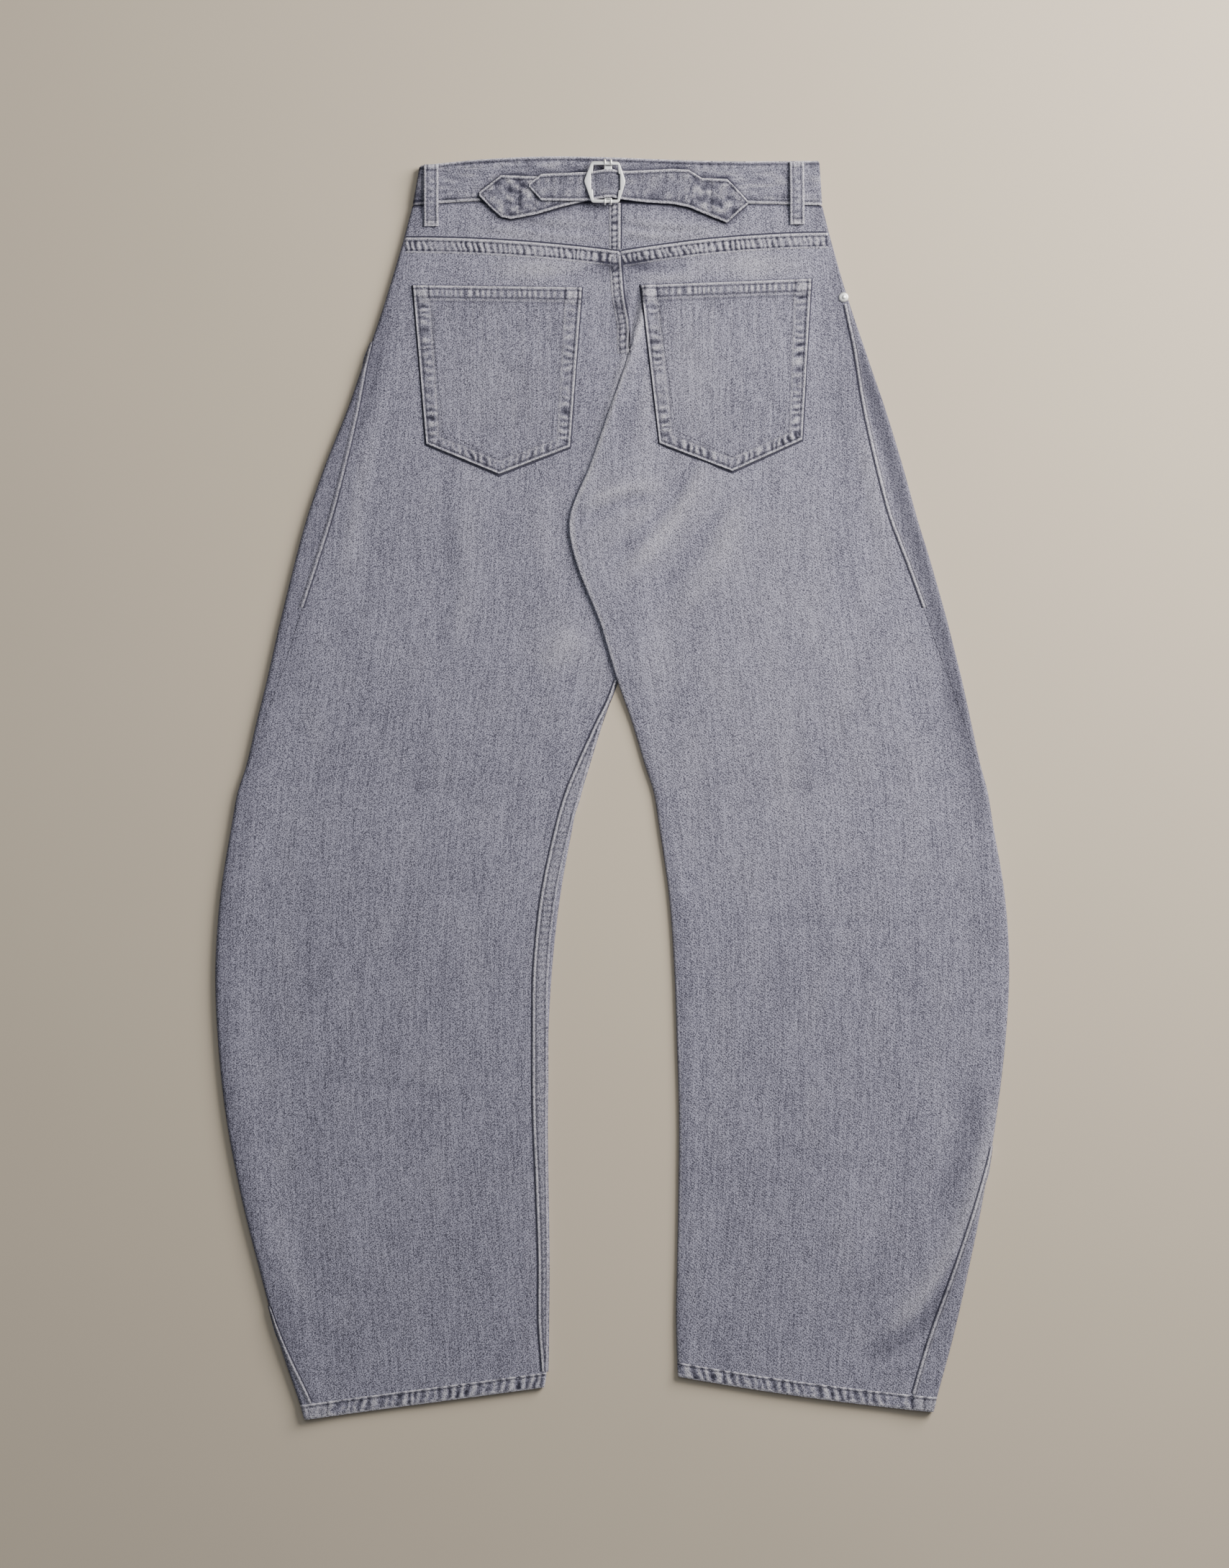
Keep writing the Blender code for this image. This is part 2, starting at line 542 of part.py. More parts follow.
def add_belt_loops(look):
    """Back loops arch over the waistband to the yoke; front loops lie flat beneath it."""
    profile = [
        (0.0, BAND_TOP + SEAM_GAP),
        (0.15, BAND_TOP + SEAM_GAP + LOOP_ARCH * 0.7),
        (0.4, BAND_TOP + SEAM_GAP + LOOP_ARCH),
        (0.65, BAND_TOP + SEAM_GAP + LOOP_ARCH * 0.7),
        (0.85, EDGE_TOP + SEAM_GAP + 0.4),
        (1.0, EDGE_TOP + SEAM_GAP),
    ]
    for side, name in SIDE_NAMES.items():
        loop = BACK_LOOPS[side]
        rows = []
        for t, low in profile:
            x, y = lerp(loop.upper_x, loop.lower_x, t), lerp(loop.upper_y, loop.lower_y, t)
            ends = (x - LOOP_WIDTH / 2, x + LOOP_WIDTH / 2)
            rows.append([(Vector((e, y, low + LOOP_WALL)), Vector((e, y, low))) for e in ends])
        add_object(f"loop_back_{name}", wall_mesh(f"loop_back_{name}", rows), look)
        loop = FRONT_LOOPS[side]
        rows = []
        for y in (loop.upper_y, loop.lower_y + 9.0):
            ends = (loop.upper_x - LOOP_WIDTH / 2, loop.upper_x + LOOP_WIDTH / 2)
            rows.append([(Vector((e, y, BAND_LOW - SEAM_GAP)), Vector((e, y, 0.0))) for e in ends])
        add_object(f"loop_front_{name}", wall_mesh(f"loop_front_{name}", rows), look)


def add_strap(name, places, look):
    rows = []
    for place in places:
        ends = (place.upper_y, lerp(place.upper_y, place.lower_y, 0.5), place.lower_y)
        rows.append(
            [(Vector((place.x, y, place.low + STRAP_WALL)), Vector((place.x, y, place.low))) for y in ends]
        )
    add_object(name, wall_mesh(name, rows), look)


def raise_outline(bm, points, low, high):
    """Upright walls from low to high round a closed outline; gives its lower and its upper edges."""
    rings = [[bm.verts.new(Vector((x, y, z)) * MM) for x, y in points] for z in (low, high)]
    count = len(points)
    for i in range(count):
        k = (i + 1) % count
        bm.faces.new((rings[0][i], rings[0][k], rings[1][k], rings[1][i]))
    return [[bm.edges.get((ring[i], ring[(i + 1) % count])) for i in range(count)] for ring in rings]


def add_buckle(frame_look, bar_look):
    bm = bmesh.new()
    high = BUCKLE_LOW + BUCKLE_WALL
    outside = raise_outline(bm, BUCKLE_OUTLINE, BUCKLE_LOW, high)
    opening = raise_outline(bm, BUCKLE_OPENING, BUCKLE_LOW, high)
    for outer, inner in zip(outside, opening):
        bmesh.ops.triangle_fill(bm, edges=outer + inner, use_beauty=True)
    add_object("buckle", finish_mesh("buckle", bm), frame_look)

    upper, lower = BUCKLE_OUTLINE[0][1], BUCKLE_OUTLINE[4][1]
    gap, wall = SEAM_GAP + 0.1, BAR_WALL
    lip = high + gap
    profile = [
        (lower - gap - wall, BAR_LOW), (upper + gap + wall, BAR_LOW), (upper + gap + wall, lip + wall),
        (upper - 2.4, lip + wall), (upper - 2.4, lip), (upper + gap, lip), (upper + gap, BAR_LOW + wall),
        (lower - gap, BAR_LOW + wall), (lower - gap, lip), (lower + 2.4, lip), (lower + 2.4, lip + wall),
        (lower - gap - wall, lip + wall),
    ]
    bm = bmesh.new()
    side = bm.faces.new([bm.verts.new(Vector((BAR_LEFT, y, z)) * MM) for y, z in profile])
    grown = bmesh.ops.extrude_face_region(bm, geom=[side])
    moved = [v for v in grown["geom"] if isinstance(v, bmesh.types.BMVert)]
    bmesh.ops.translate(bm, verts=moved, vec=Vector((BAR_RIGHT - BAR_LEFT, 0.0, 0.0)) * MM)
    add_object("buckle_bar", finish_mesh("buckle_bar", bm, smooth=False), bar_look)


def add_disc(name, centre, radius, low, high, look):
    bm = bmesh.new()
    place = Vector((centre[0], centre[1], (low + high) / 2)) * MM
    bmesh.ops.create_cone(
        bm, cap_ends=True, segments=20, radius1=radius * MM, radius2=radius * MM * 0.9, depth=(high - low) * MM
    )
    bmesh.ops.translate(bm, verts=bm.verts, vec=place)
    add_object(name, finish_mesh(name, bm), look)


def add_fly(look):
    height = top_finder(bpy.data.objects["front_right"])
    rows = []
    for shield in FLY:
        row = []
        for x in (FLY_FOLD_X, shield.free_x):
            low = height(x, shield.y) + PATCH_GAP
            row.append((Vector((x, shield.y, low + PLY)), Vector((x, shield.y, low))))
        rows.append(row)
    add_object("fly", wall_mesh("fly", rows), look)


def main():
    for item in list(bpy.data.objects):
        bpy.data.objects.remove(item, do_unlink=True)
    grey = material("denim_grey", (0.19, 0.19, 0.22), 0.85)
    inside = material("denim_front", (0.17, 0.17, 0.2), 0.85)
    patch = material("denim_pocket", (0.22, 0.22, 0.25), 0.85)
    trim = material("denim_trim", (0.2, 0.2, 0.23), 0.85)
    steel = material("nickel", (0.8, 0.8, 0.78), 0.3, 1.0)
    panels = add_legs({LEFT: grey, RIGHT: grey, "front": inside})
    add_yokes(trim)
    add_waistband(trim)
    add_pockets(panels, patch)
    add_belt_loops(trim)
    add_strap("cinch_left", LEFT_STRAP, trim)
    add_strap("cinch_right", RIGHT_STRAP, trim)
    add_buckle(steel, material("nickel_bar", (0.8, 0.8, 0.78), 0.3, 1.0))
    add_fly(trim)
    add_disc("button", BUTTON_AT, BUTTON_RADIUS, 0.0, BAND_LOW - SEAM_GAP, steel)
    low = top_finder(bpy.data.objects["front_right"])(*RIVET_AT) + SEAM_GAP
    add_disc("rivet", RIVET_AT, RIVET_RADIUS, low, low + RIVET_RISE, steel)


main()
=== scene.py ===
"""Barrel-leg denim jeans laid flat on their front: cloth, seams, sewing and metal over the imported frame.

Every length in the tables is in millimetres. X runs to the wearer's right, Y from the hems to the waist.
"""

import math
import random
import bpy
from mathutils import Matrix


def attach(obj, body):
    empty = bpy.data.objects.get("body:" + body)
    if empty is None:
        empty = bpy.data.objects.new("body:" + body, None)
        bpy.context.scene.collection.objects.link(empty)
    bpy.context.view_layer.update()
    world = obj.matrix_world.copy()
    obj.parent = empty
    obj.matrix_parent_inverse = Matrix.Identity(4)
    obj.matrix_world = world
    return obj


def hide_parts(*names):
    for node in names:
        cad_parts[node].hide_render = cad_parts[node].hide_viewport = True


bl_info = {
    "name": "Barrel-leg jeans, laid flat",
    "version": (1, 0, 0),
    "blender": (4, 5, 0),
    "location": "3D View > Sidebar > Jeans",
    "description": "Grey denim jeans with yoke, patch pockets, felled seams and a buckled back cinch",
    "category": "Object",
}

from collections import namedtuple

import bmesh
import bpy
from bpy.props import FloatProperty, FloatVectorProperty, IntProperty, PointerProperty
from mathutils import Matrix, Vector, noise
from mathutils.bvhtree import BVHTree

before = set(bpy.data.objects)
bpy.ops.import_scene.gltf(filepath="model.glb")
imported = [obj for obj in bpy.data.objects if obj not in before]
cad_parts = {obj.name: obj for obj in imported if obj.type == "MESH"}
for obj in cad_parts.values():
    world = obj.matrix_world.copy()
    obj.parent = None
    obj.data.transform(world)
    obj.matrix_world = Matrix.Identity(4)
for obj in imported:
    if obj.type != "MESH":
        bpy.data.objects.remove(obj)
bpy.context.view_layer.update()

MM = 0.001
LEFT, RIGHT = -1, 1
SIDE_NAMES = {LEFT: "left", RIGHT: "right"}

# Cloth
PLY = 1.2
SEAM_GAP = 0.3
HEM_DEPTH = 12.5
HEM_RAISE = 0.5
PANEL_ABOVE_HEM = 3.0
STRIP_FILM = 0.12
BAND_WALL = 2.4

# Heights of outer faces above the surface
EDGE_TOP = 6.1
BAND_LOW = 1.5
BAND_TOP = 6.9
EDGE_SLOPE = 38.0
CENTRE_SLOPE = 30.0
UNDER_SLOPE = 25.0
UNDER_MARGIN = 6.0

# One section across a leg, from the outer edge to the inner edge.
# side_seam and inseam say how far those seams lie inside their edge, less than 0 where they lie beneath.
# middle_top, inner_low and inner_top are heights of the outer face, and low is that of the underside.
# Where folded is 0 the cloth ends flat at the inner point, on the centre seam.
Section = namedtuple(
    "Section",
    "outer_x outer_y inner_x inner_y bow side_seam inseam middle_top inner_low inner_top folded low",
    defaults=(0.0,),
)

LEFT_LEG = [
    Section(-256.5, -525.0, -56.5, -498.0, 0.0, 12.0, 4.0, 4.9, 0.0, 4.9, 1),
    Section(-260.0, -513.0, -54.8, -486.0, 0.0, 12.0, 5.0, 4.7, 0.0, 4.8, 1),
    Section(-277.8, -460.0, -54.0, -443.5, 0.0, 5.5, 8.5, 4.2, 0.0, 4.2, 1),
    Section(-294.0, -400.0, -53.6, -391.0, 0.0, 0.0, 9.0, 3.6, 0.0, 4.0, 1),
    Section(-309.0, -340.0, -54.4, -334.0, 0.0, -4.0, 10.0, 3.6, 0.0, 4.0, 1),
    Section(-321.6, -274.0, -55.0, -271.0, 0.0, -6.0, 12.0, 3.6, 0.0, 4.0, 1),
    Section(-328.6, -208.0, -53.4, -208.0, 0.0, -6.0, 14.0, 3.6, 0.0, 4.0, 1),
    Section(-330.6, -148.0, -50.0, -148.0, 0.0, -6.0, 16.5, 3.6, 0.0, 4.0, 1),
    Section(-326.4, -88.0, -43.2, -88.0, 0.0, -6.0, 17.0, 3.6, 0.0, 4.0, 1),
    Section(-316.8, -28.0, -32.4, -28.0, 0.0, -2.0, 15.0, 3.6, 0.0, 4.0, 1),
    Section(-312.0, -2.0, -27.0, -2.0, 0.0, 1.0, 12.5, 3.6, 0.0, 4.0, 1),
    Section(-304.8, 20.0, -20.4, 20.0, 0.0, 4.0, 10.0, 3.6, 0.0, 3.8, 1),
    Section(-296.4, 56.0, -9.0, 56.0, 0.0, 8.0, 5.0, 3.6, 0.0, 3.6, 1),
    Section(-290.4, 80.0, -0.3, 80.0, 0.0, 11.0, 2.0, 3.6, 0.0, 3.4, 1),
    Section(-286.8, 95.0, 4.8, 95.0, 0.0, 13.0, 2.0, 3.6, 0.0, 3.2, 1),
    Section(-279.4, 128.0, 15.6, 128.0, 0.0, 16.0, 0.0, 3.6, 0.0, 2.8, 1),
    Section(-276.6, 140.0, 19.8, 140.0, 0.0, 17.0, 0.0, 3.6, 0.0, 2.7, 0),
    Section(-264.0, 191.0, 19.8, 191.0, 0.0, 21.0, 0.0, 3.6, 0.0, 2.7, 0),
    Section(-254.4, 226.0, 19.0, 226.0, 0.0, 22.5, 0.0, 3.6, 0.0, 2.7, 0),
    Section(-239.4, 269.5, 17.5, 269.5, 0.0, 19.0, 0.0, 3.6, 0.0, 2.7, 0),
    Section(-220.2, 317.5, 15.3, 317.5, 0.0, 11.0, 0.0, 3.8, 0.0, 2.8, 0),
    Section(-209.6, 348.0, 13.8, 348.0, 0.0, 6.0, 0.0, 4.4, 0.0, 3.2, 0),
    Section(-202.2, 368.0, 13.5, 368.0, 0.0, 3.0, 0.0, 4.9, 0.0, 4.3, 0),
    Section(-193.8, 392.0, 13.2, 387.5, 0.8, -1.0, 0.0, 5.4, 0.0, 5.6, 0),
    Section(-184.5, 421.5, 8.7, 412.0, 1.8, -2.5, 0.0, 5.9, 0.0, 6.1, 0),
    Section(-173.6, 458.5, 6.3, 447.0, 3.0, -2.5, 0.0, 6.1, 0.0, 6.1, 0),
]

RIGHT_LEG = [
    Section(267.6, -518.5, 54.6, -489.0, -2.4, 23.0, -2.6, 4.9, 0.0, 4.9, 1),
    Section(270.6, -506.0, 54.0, -477.0, -2.4, 23.0, -2.6, 4.7, 0.0, 4.8, 1),
    Section(283.8, -457.0, 53.0, -439.0, -1.0, 21.5, -2.6, 4.2, 0.0, 4.2, 1),
    Section(297.0, -399.0, 54.0, -389.5, 0.0, 14.0, -2.6, 3.6, 0.0, 4.0, 1),
    Section(309.0, -340.0, 55.0, -334.0, 0.0, 7.0, -2.6, 3.6, 0.0, 4.0, 1),
    Section(319.8, -274.0, 55.4, -271.0, 0.0, 0.0, -2.6, 3.6, 0.0, 4.0, 1),
    Section(327.6, -208.0, 53.6, -208.0, 0.0, -3.0, -2.6, 3.6, 0.0, 4.0, 1),
    Section(330.6, -148.0, 51.4, -148.0, 0.0, -6.0, -2.6, 3.6, 0.0, 4.0, 1),
    Section(326.8, -88.0, 47.0, -88.0, 0.0, -6.0, -2.6, 3.6, 0.0, 4.0, 1),
    Section(316.8, -28.0, 38.4, -28.0, 0.0, -2.0, -2.6, 3.6, 0.0, 4.0, 1),
    Section(312.6, -2.0, 34.2, -2.0, 0.0, 1.0, -2.6, 3.6, 0.0, 4.0, 1),
    Section(306.6, 20.0, 27.0, 20.0, 0.0, 4.0, -2.6, 3.6, 0.0, 4.0, 1),
    Section(298.8, 56.0, 16.2, 56.0, 0.0, 8.0, -2.6, 3.6, 0.0, 4.0, 1),
    Section(293.6, 80.0, 7.8, 80.0, 0.0, 11.0, -9.7, 3.6, 1.6, 5.0, 1),
    Section(290.2, 95.0, 2.6, 95.0, 0.0, 13.0, -15.9, 3.6, 3.6, 6.6, 1),
    Section(282.0, 128.0, -7.2, 128.0, 0.0, 17.0, -27.0, 3.6, 3.2, 6.1, 1),
    Section(279.0, 140.0, -11.0, 140.0, 0.0, 18.0, -30.8, 3.6, 3.1, 6.0, 1),
    Section(264.6, 191.0, -31.0, 191.0, 0.0, 22.0, -50.8, 3.6, 3.1, 6.0, 1),
    Section(253.8, 226.0, -35.7, 226.0, 0.0, 24.5, -54.7, 3.6, 3.1, 6.0, 1),
    Section(241.8, 269.5, -18.8, 269.5, 0.0, 24.0, -36.3, 3.6, 3.1, 6.0, 1),
    Section(227.1, 317.5, -2.2, 317.5, 0.0, 20.0, -17.5, 3.8, 3.2, 6.1, 1),
    Section(216.6, 348.0, 8.8, 348.0, 0.0, 14.5, -5.0, 4.4, 3.6, 6.5, 1),
    Section(209.8, 368.0, 13.8, 368.0, 0.0, 11.0, 0.0, 4.9, 0.0, 6.6, 0),
    Section(201.6, 392.0, 13.5, 387.5, 0.8, 8.0, 0.0, 5.4, 0.0, 6.4, 0),
    Section(191.4, 424.0, 9.0, 412.0, 2.0, 4.5, 0.0, 5.9, 0.0, 6.1, 0),
    Section(180.6, 462.5, 6.6, 447.0, 3.6, 2.0, 0.0, 6.1, 0.0, 6.1, 0),
]

LEGS = {LEFT: LEFT_LEG, RIGHT: RIGHT_LEG}
CROTCH_Y = 134.0

# Top edge of the yokes and of the front panels, where the waistband joins
WAIST_SEAM = {
    LEFT: Section(-166.4, 485.1, 6.3, 489.4, 2.6, -2.5, 0.0, 6.1, 0.0, 6.1, 0, 2.1),
    RIGHT: Section(174.8, 485.1, 6.6, 489.4, 0.0, 2.0, 0.0, 6.1, 0.0, 6.1, 0, 2.1),
}

# Upper edge of the waistband, from the left fold to the right fold
Band = namedtuple("Band", "left_x left_y right_x right_y bow skew")
BAND_EDGE = Band(-160.5, 518.6, 172.4, 522.6, 4.6, 2.6)
BAND_SEAM_GAP = 0.5

# Back pockets: corner, corner, corner, point, corner, from the upper left one clockwise
Pocket = namedtuple("Pocket", "upper_left upper_right lower_right point lower_left")
POCKETS = {
    LEFT: Pocket((-166.2, 419.1), (-25.2, 417.3), (-35.4, 284.7), (-94.2, 261.9), (-155.1, 287.1)),
    RIGHT: Pocket((23.4, 419.1), (165.6, 424.5), (158.1, 290.7), (99.9, 264.3), (39.0, 287.7)),
}

# Belt loops: x and y of the upper end, x and y of the lower end
Loop = namedtuple("Loop", "upper_x upper_y lower_x lower_y")
BACK_LOOPS = {LEFT: Loop(-150.6, 519.2, -150.6, 468.0), RIGHT: Loop(153.3, 521.6, 153.8, 469.5)}
FRONT_LOOPS = {LEFT: Loop(-92.0, 520.0, -92.0, 487.0), RIGHT: Loop(104.0, 520.0, 104.0, 487.0)}
LOOP_WIDTH = 12.0
BACK_LOOP_WALL = 1.7
FRONT_LOOP_WALL = 1.15

BUTTON_AT = (10.0, 505.0)
BUTTON_RADIUS = 8.5
RIVET_AT = (192.4, 409.0)
RIVET_RADIUS = 4.2

# Fly shield inside the front, beside the centre seam: y, and x of its free edge
Shield = namedtuple("Shield", "y free_x")
FLY = [
    Shield(484.0, 58.0), Shield(466.0, 58.0), Shield(447.0, 58.0), Shield(392.0, 58.0), Shield(368.0, 46.0)
]
FLY_FOLD_X = 24.0
FLY_CLEARANCE = 0.45

# Back cinch. Each place along a strap: x, y of its upper edge, y of its lower edge, height of its underside
Place = namedtuple("Place", "x upper_y lower_y low")
STRAP_WALL = 1.6
LEFT_STRAP = [
    Place(-110.4, 496.4, 492.6, 7.6),
    Place(-101.6, 503.2, 483.5, 7.3),
    Place(-92.6, 510.3, 475.5, 7.2),
    Place(-84.0, 510.0, 473.9, 7.3),
    Place(-64.0, 509.2, 477.6, 7.4),
    Place(-42.0, 509.0, 484.0, 7.3),
    Place(-18.0, 509.4, 489.6, 7.2),
    Place(-2.0, 510.0, 493.0, 7.2),
]
RIGHT_STRAP = [
    Place(-69.0, 503.0, 499.6, 9.3),
    Place(-59.0, 510.9, 488.7, 9.3),
    Place(-40.0, 511.6, 488.4, 9.3),
    Place(-24.0, 512.4, 488.4, 9.1),
    Place(-16.5, 513.0, 488.8, 9.2),
    Place(-10.5, 513.8, 490.2, 10.3),
    Place(-5.0, 514.6, 491.0, 11.0),
    Place(0.0, 514.6, 491.2, 10.6),
    Place(5.5, 513.8, 490.2, 9.2),
    Place(12.0, 513.4, 489.2, 8.6),
    Place(30.0, 514.4, 487.5, 7.6),
    Place(50.0, 515.4, 486.3, 7.6),
    Place(63.6, 514.6, 483.6, 7.6),
    Place(74.4, 507.8, 479.1, 7.4),
    Place(95.4, 507.0, 470.7, 7.3),
    Place(104.0, 498.4, 478.8, 7.3),
    Place(112.5, 489.0, 485.8, 7.6),
]
TAB_STITCH_X = {LEFT: -76.8, RIGHT: 82.8}
TAB_STITCH_Y = (505.0, 480.0)

# Buckle: a flat frame with pointed sides, and a centre bar hooked round its upper and lower edge
BUCKLE_OUTLINE = [
    (-17.2, 521.0), (5.6, 520.6), (11.0, 503.8), (5.6, 486.4), (-17.2, 486.6), (-23.6, 504.8)
]
BUCKLE_OPENING = [
    (-15.8, 518.0), (4.6, 517.8), (5.2, 510.4), (6.4, 510.4), (6.4, 497.0), (5.2, 497.0),
    (4.4, 489.2), (-15.6, 489.4), (-16.4, 498.0), (-17.8, 498.0), (-17.8, 511.0), (-16.4, 511.0)
]
BUCKLE_LOW = 11.1
BUCKLE_WALL = 1.6
PRONGS_X = (-6.1, -1.1)
PRONG_WIDTH = 1.7
BAR_LOW = 9.1
BAR_WALL = 1.1
HOOK_GAP = 0.15
BAR_PLATE_IN = 3.6

# Soft troughs (height less than 0) and ridges across the upper cloth, each from one end to the other
Crease = namedtuple("Crease", "x1 y1 x2 y2 bend width height")
CREASES = [
    # below the yoke, beside the centre seam
    Crease(12.0, 437.0, 60.0, 434.0, 2.0, 4.5, -2.0),
    Crease(16.0, 427.5, 70.0, 426.0, 1.5, 4.5, 1.3),
    Crease(-15.0, 440.0, -95.0, 430.0, -5.0, 6.0, 0.7),
    Crease(-10.0, 431.0, -70.0, 426.0, -3.0, 4.5, -0.8),
    # fanned over the yoke, from the centre seam
    Crease(9.0, 474.0, 84.0, 466.0, 2.0, 2.8, 0.9),
    Crease(9.0, 468.0, 70.0, 460.0, 2.0, 2.6, -0.9),
    Crease(9.0, 463.0, 92.0, 459.0, 2.0, 2.8, 0.8),
    Crease(9.0, 456.0, 60.0, 452.0, 1.0, 2.6, -0.8),
    Crease(-6.0, 470.0, -90.0, 476.0, -2.0, 3.0, 0.7),
    Crease(-6.0, 463.0, -76.0, 468.0, -2.0, 2.8, -0.8),
    Crease(-6.0, 457.0, -110.0, 466.0, -3.0, 3.0, 0.7),
    # the tuck that the centre fold grows out of, and the fold's own roll
    Crease(30.0, 420.0, 16.0, 368.0, -2.0, 3.4, 2.6),
    Crease(22.0, 416.0, 11.0, 374.0, -1.0, 3.0, -1.9),
    Crease(38.0, 414.0, 24.0, 350.0, -2.0, 4.5, -1.3),
    Crease(17.0, 372.0, -4.0, 310.0, 2.0, 4.0, 1.5),
    Crease(0.0, 322.0, -24.0, 246.0, 1.0, 4.0, 1.0),
    Crease(26.0, 352.0, 6.0, 286.0, 0.0, 6.0, -0.8),
    # along the side folds of the thighs
    Crease(-196.0, 372.0, -238.0, 205.0, 4.0, 9.0, -1.7),
    Crease(-234.0, 240.0, -272.0, 60.0, 4.0, 11.0, -1.3),
    Crease(-180.0, 360.0, -222.0, 190.0, 3.0, 9.0, 0.9),
    Crease(203.0, 372.0, 245.0, 215.0, -4.0, 9.0, -1.9),
    Crease(240.0, 240.0, 288.0, 60.0, -4.0, 11.0, -1.6),
    Crease(280.0, 90.0, 308.0, -40.0, -3.0, 12.0, -1.2),
    Crease(188.0, 350.0, 228.0, 190.0, -3.0, 9.0, 1.0),
    # slanting folds on the right thigh, out of the centre fold
    Crease(78.0, 272.0, 8.0, 176.0, -6.0, 7.0, 1.7),
    Crease(64.0, 264.0, 0.0, 192.0, -5.0, 6.0, -1.5),
    Crease(98.0, 250.0, 34.0, 160.0, -5.0, 7.0, -1.4),
    Crease(112.0, 240.0, 52.0, 140.0, -5.0, 8.0, 0.7),
    Crease(40.0, 254.0, -22.0, 236.0, 4.0, 5.0, 1.5),
    Crease(34.0, 242.0, -24.0, 220.0, 4.0, 5.0, -1.3),
    # on the left leg below the fold
    Crease(-28.0, 128.0, -58.0, 96.0, 3.0, 12.0, 1.0),
    Crease(-62.0, 250.0, -50.0, 170.0, 3.0, 9.0, 0.6),
    Crease(-140.0, 240.0, -148.0, 90.0, -6.0, 8.0, -0.7),
    Crease(-126.0, 250.0, -134.0, 100.0, -6.0, 8.0, 0.5),
    # faint creases at the knees
    Crease(84.0, -108.0, 300.0, -110.0, 3.0, 4.0, -0.5),
    Crease(-290.0, -96.0, -90.0, -88.0, -3.0, 5.0, -0.4),
    Crease(-250.0, -240.0, -120.0, -262.0, -3.0, 7.0, -0.5),
    Crease(120.0, -300.0, 210.0, -322.0, -3.0, 8.0, -0.5),
    # the twist at the right leg's lower outer corner
    Crease(318.0, -256.0, 226.0, -460.0, -22.0, 10.0, 2.2),
    Crease(301.0, -250.0, 266.0, -352.0, -8.0, 9.0, -1.8),
    Crease(276.0, -424.0, 212.0, -474.0, -6.0, 7.0, -2.6),
    Crease(302.0, -350.0, 266.0, -430.0, -4.0, 6.0, -2.0),
    Crease(273.0, -420.0, 288.0, -416.0, 0.0, 2.6, -1.5),
    Crease(255.0, -468.0, 273.0, -460.0, 0.0, 3.0, -1.3),
    # and a slighter one on the left leg
    Crease(-304.0, -300.0, -236.0, -452.0, 16.0, 11.0, 0.4),
    Crease(-272.0, -410.0, -222.0, -474.0, 6.0, 10.0, -0.35),
    # the pockets' soft dents
    Crease(-100.0, 356.0, -76.0, 341.0, 2.0, 6.0, -1.0),
    Crease(-92.0, 366.0, -62.0, 352.0, 2.0, 6.0, 0.6),
    Crease(62.0, 402.0, 96.0, 392.0, -2.0, 6.0, -0.8),
    Crease(120.0, 330.0, 138.0, 372.0, 4.0, 8.0, 0.6),
    Crease(70.0, 340.0, 110.0, 326.0, 3.0, 8.0, 0.5),
]


def ease(t):
    """Smooth step from 0 to 1."""
    t = min(max(t, 0.0), 1.0)
    return t * t * (3.0 - 2.0 * t)


def lerp(a, b, t):
    """The value at a share of the way from a to b."""
    return a + (b - a) * t


def spread(start, end, steps):
    """Even numbers from start to end, both among them."""
    return [lerp(start, end, i / steps) for i in range(steps + 1)]


def bell(distance, width):
    """1 at no distance, falling smoothly to nothing at about two widths."""
    return math.exp(-((distance / width) ** 2))


def grain(x, y, size, seed=0.0):
    """Smooth noise from -1 to 1 whose features are about size across."""
    return noise.noise(Vector((x / size, y / size, seed)))


def crease_height(crease, x, y):
    """What one crease adds to the height of the cloth at x and y."""
    run_x, run_y = crease.x2 - crease.x1, crease.y2 - crease.y1
    length = math.hypot(run_x, run_y)
    t = ((x - crease.x1) * run_x + (y - crease.y1) * run_y) / length**2
    if t < -0.2 or t > 1.2:
        return 0.0
    off = ((x - crease.x1) * run_y - (y - crease.y1) * run_x) / length
    off -= crease.bend * math.sin(math.pi * min(max(t, 0.0), 1.0))
    if abs(off) > crease.width * 3.0:
        return 0.0
    fade = ease((t + 0.15) / 0.4) * ease((1.15 - t) / 0.4)
    return crease.height * bell(off, crease.width) * fade


def relief(x, y):
    """Height of the creases and of the cloth's slow unevenness at x and y."""
    height = sum(crease_height(crease, x, y) for crease in CREASES)
    height += 0.45 * grain(x, y, 95.0) + 0.28 * grain(x, y * 0.7, 42.0, 3.0)
    return height + 0.1 * grain(x, y * 0.6, 15.0, 7.0)


def section_at(side, y):
    """A leg's section whose outer edge is at y, smoothly between the table's stations."""
    table = LEGS[side]
    last = len(table) - 1
    i = 0
    while i < last - 1 and table[i + 1].outer_y <= y:
        i += 1
    a, b = table[i], table[i + 1]
    before, after = table[max(i - 1, 0)], table[min(i + 2, last)]
    span = b.outer_y - a.outer_y
    t = (y - a.outer_y) / span
    values = []
    for p, q, r, s in zip(before, a, b, after):
        slope_a = (r - p) / (b.outer_y - before.outer_y) * span
        slope_b = (s - q) / (after.outer_y - a.outer_y) * span
        curve = (2 * q - 2 * r + slope_a + slope_b) * t**3
        curve += (3 * r - 3 * q - 2 * slope_a - slope_b) * t**2
        values.append(curve + slope_a * t + q)
    made = Section(*values)
    return made._replace(
        folded=a.folded, bow=lerp(a.bow, b.bow, t), inner_low=lerp(a.inner_low, b.inner_low, t), low=0.0
    )


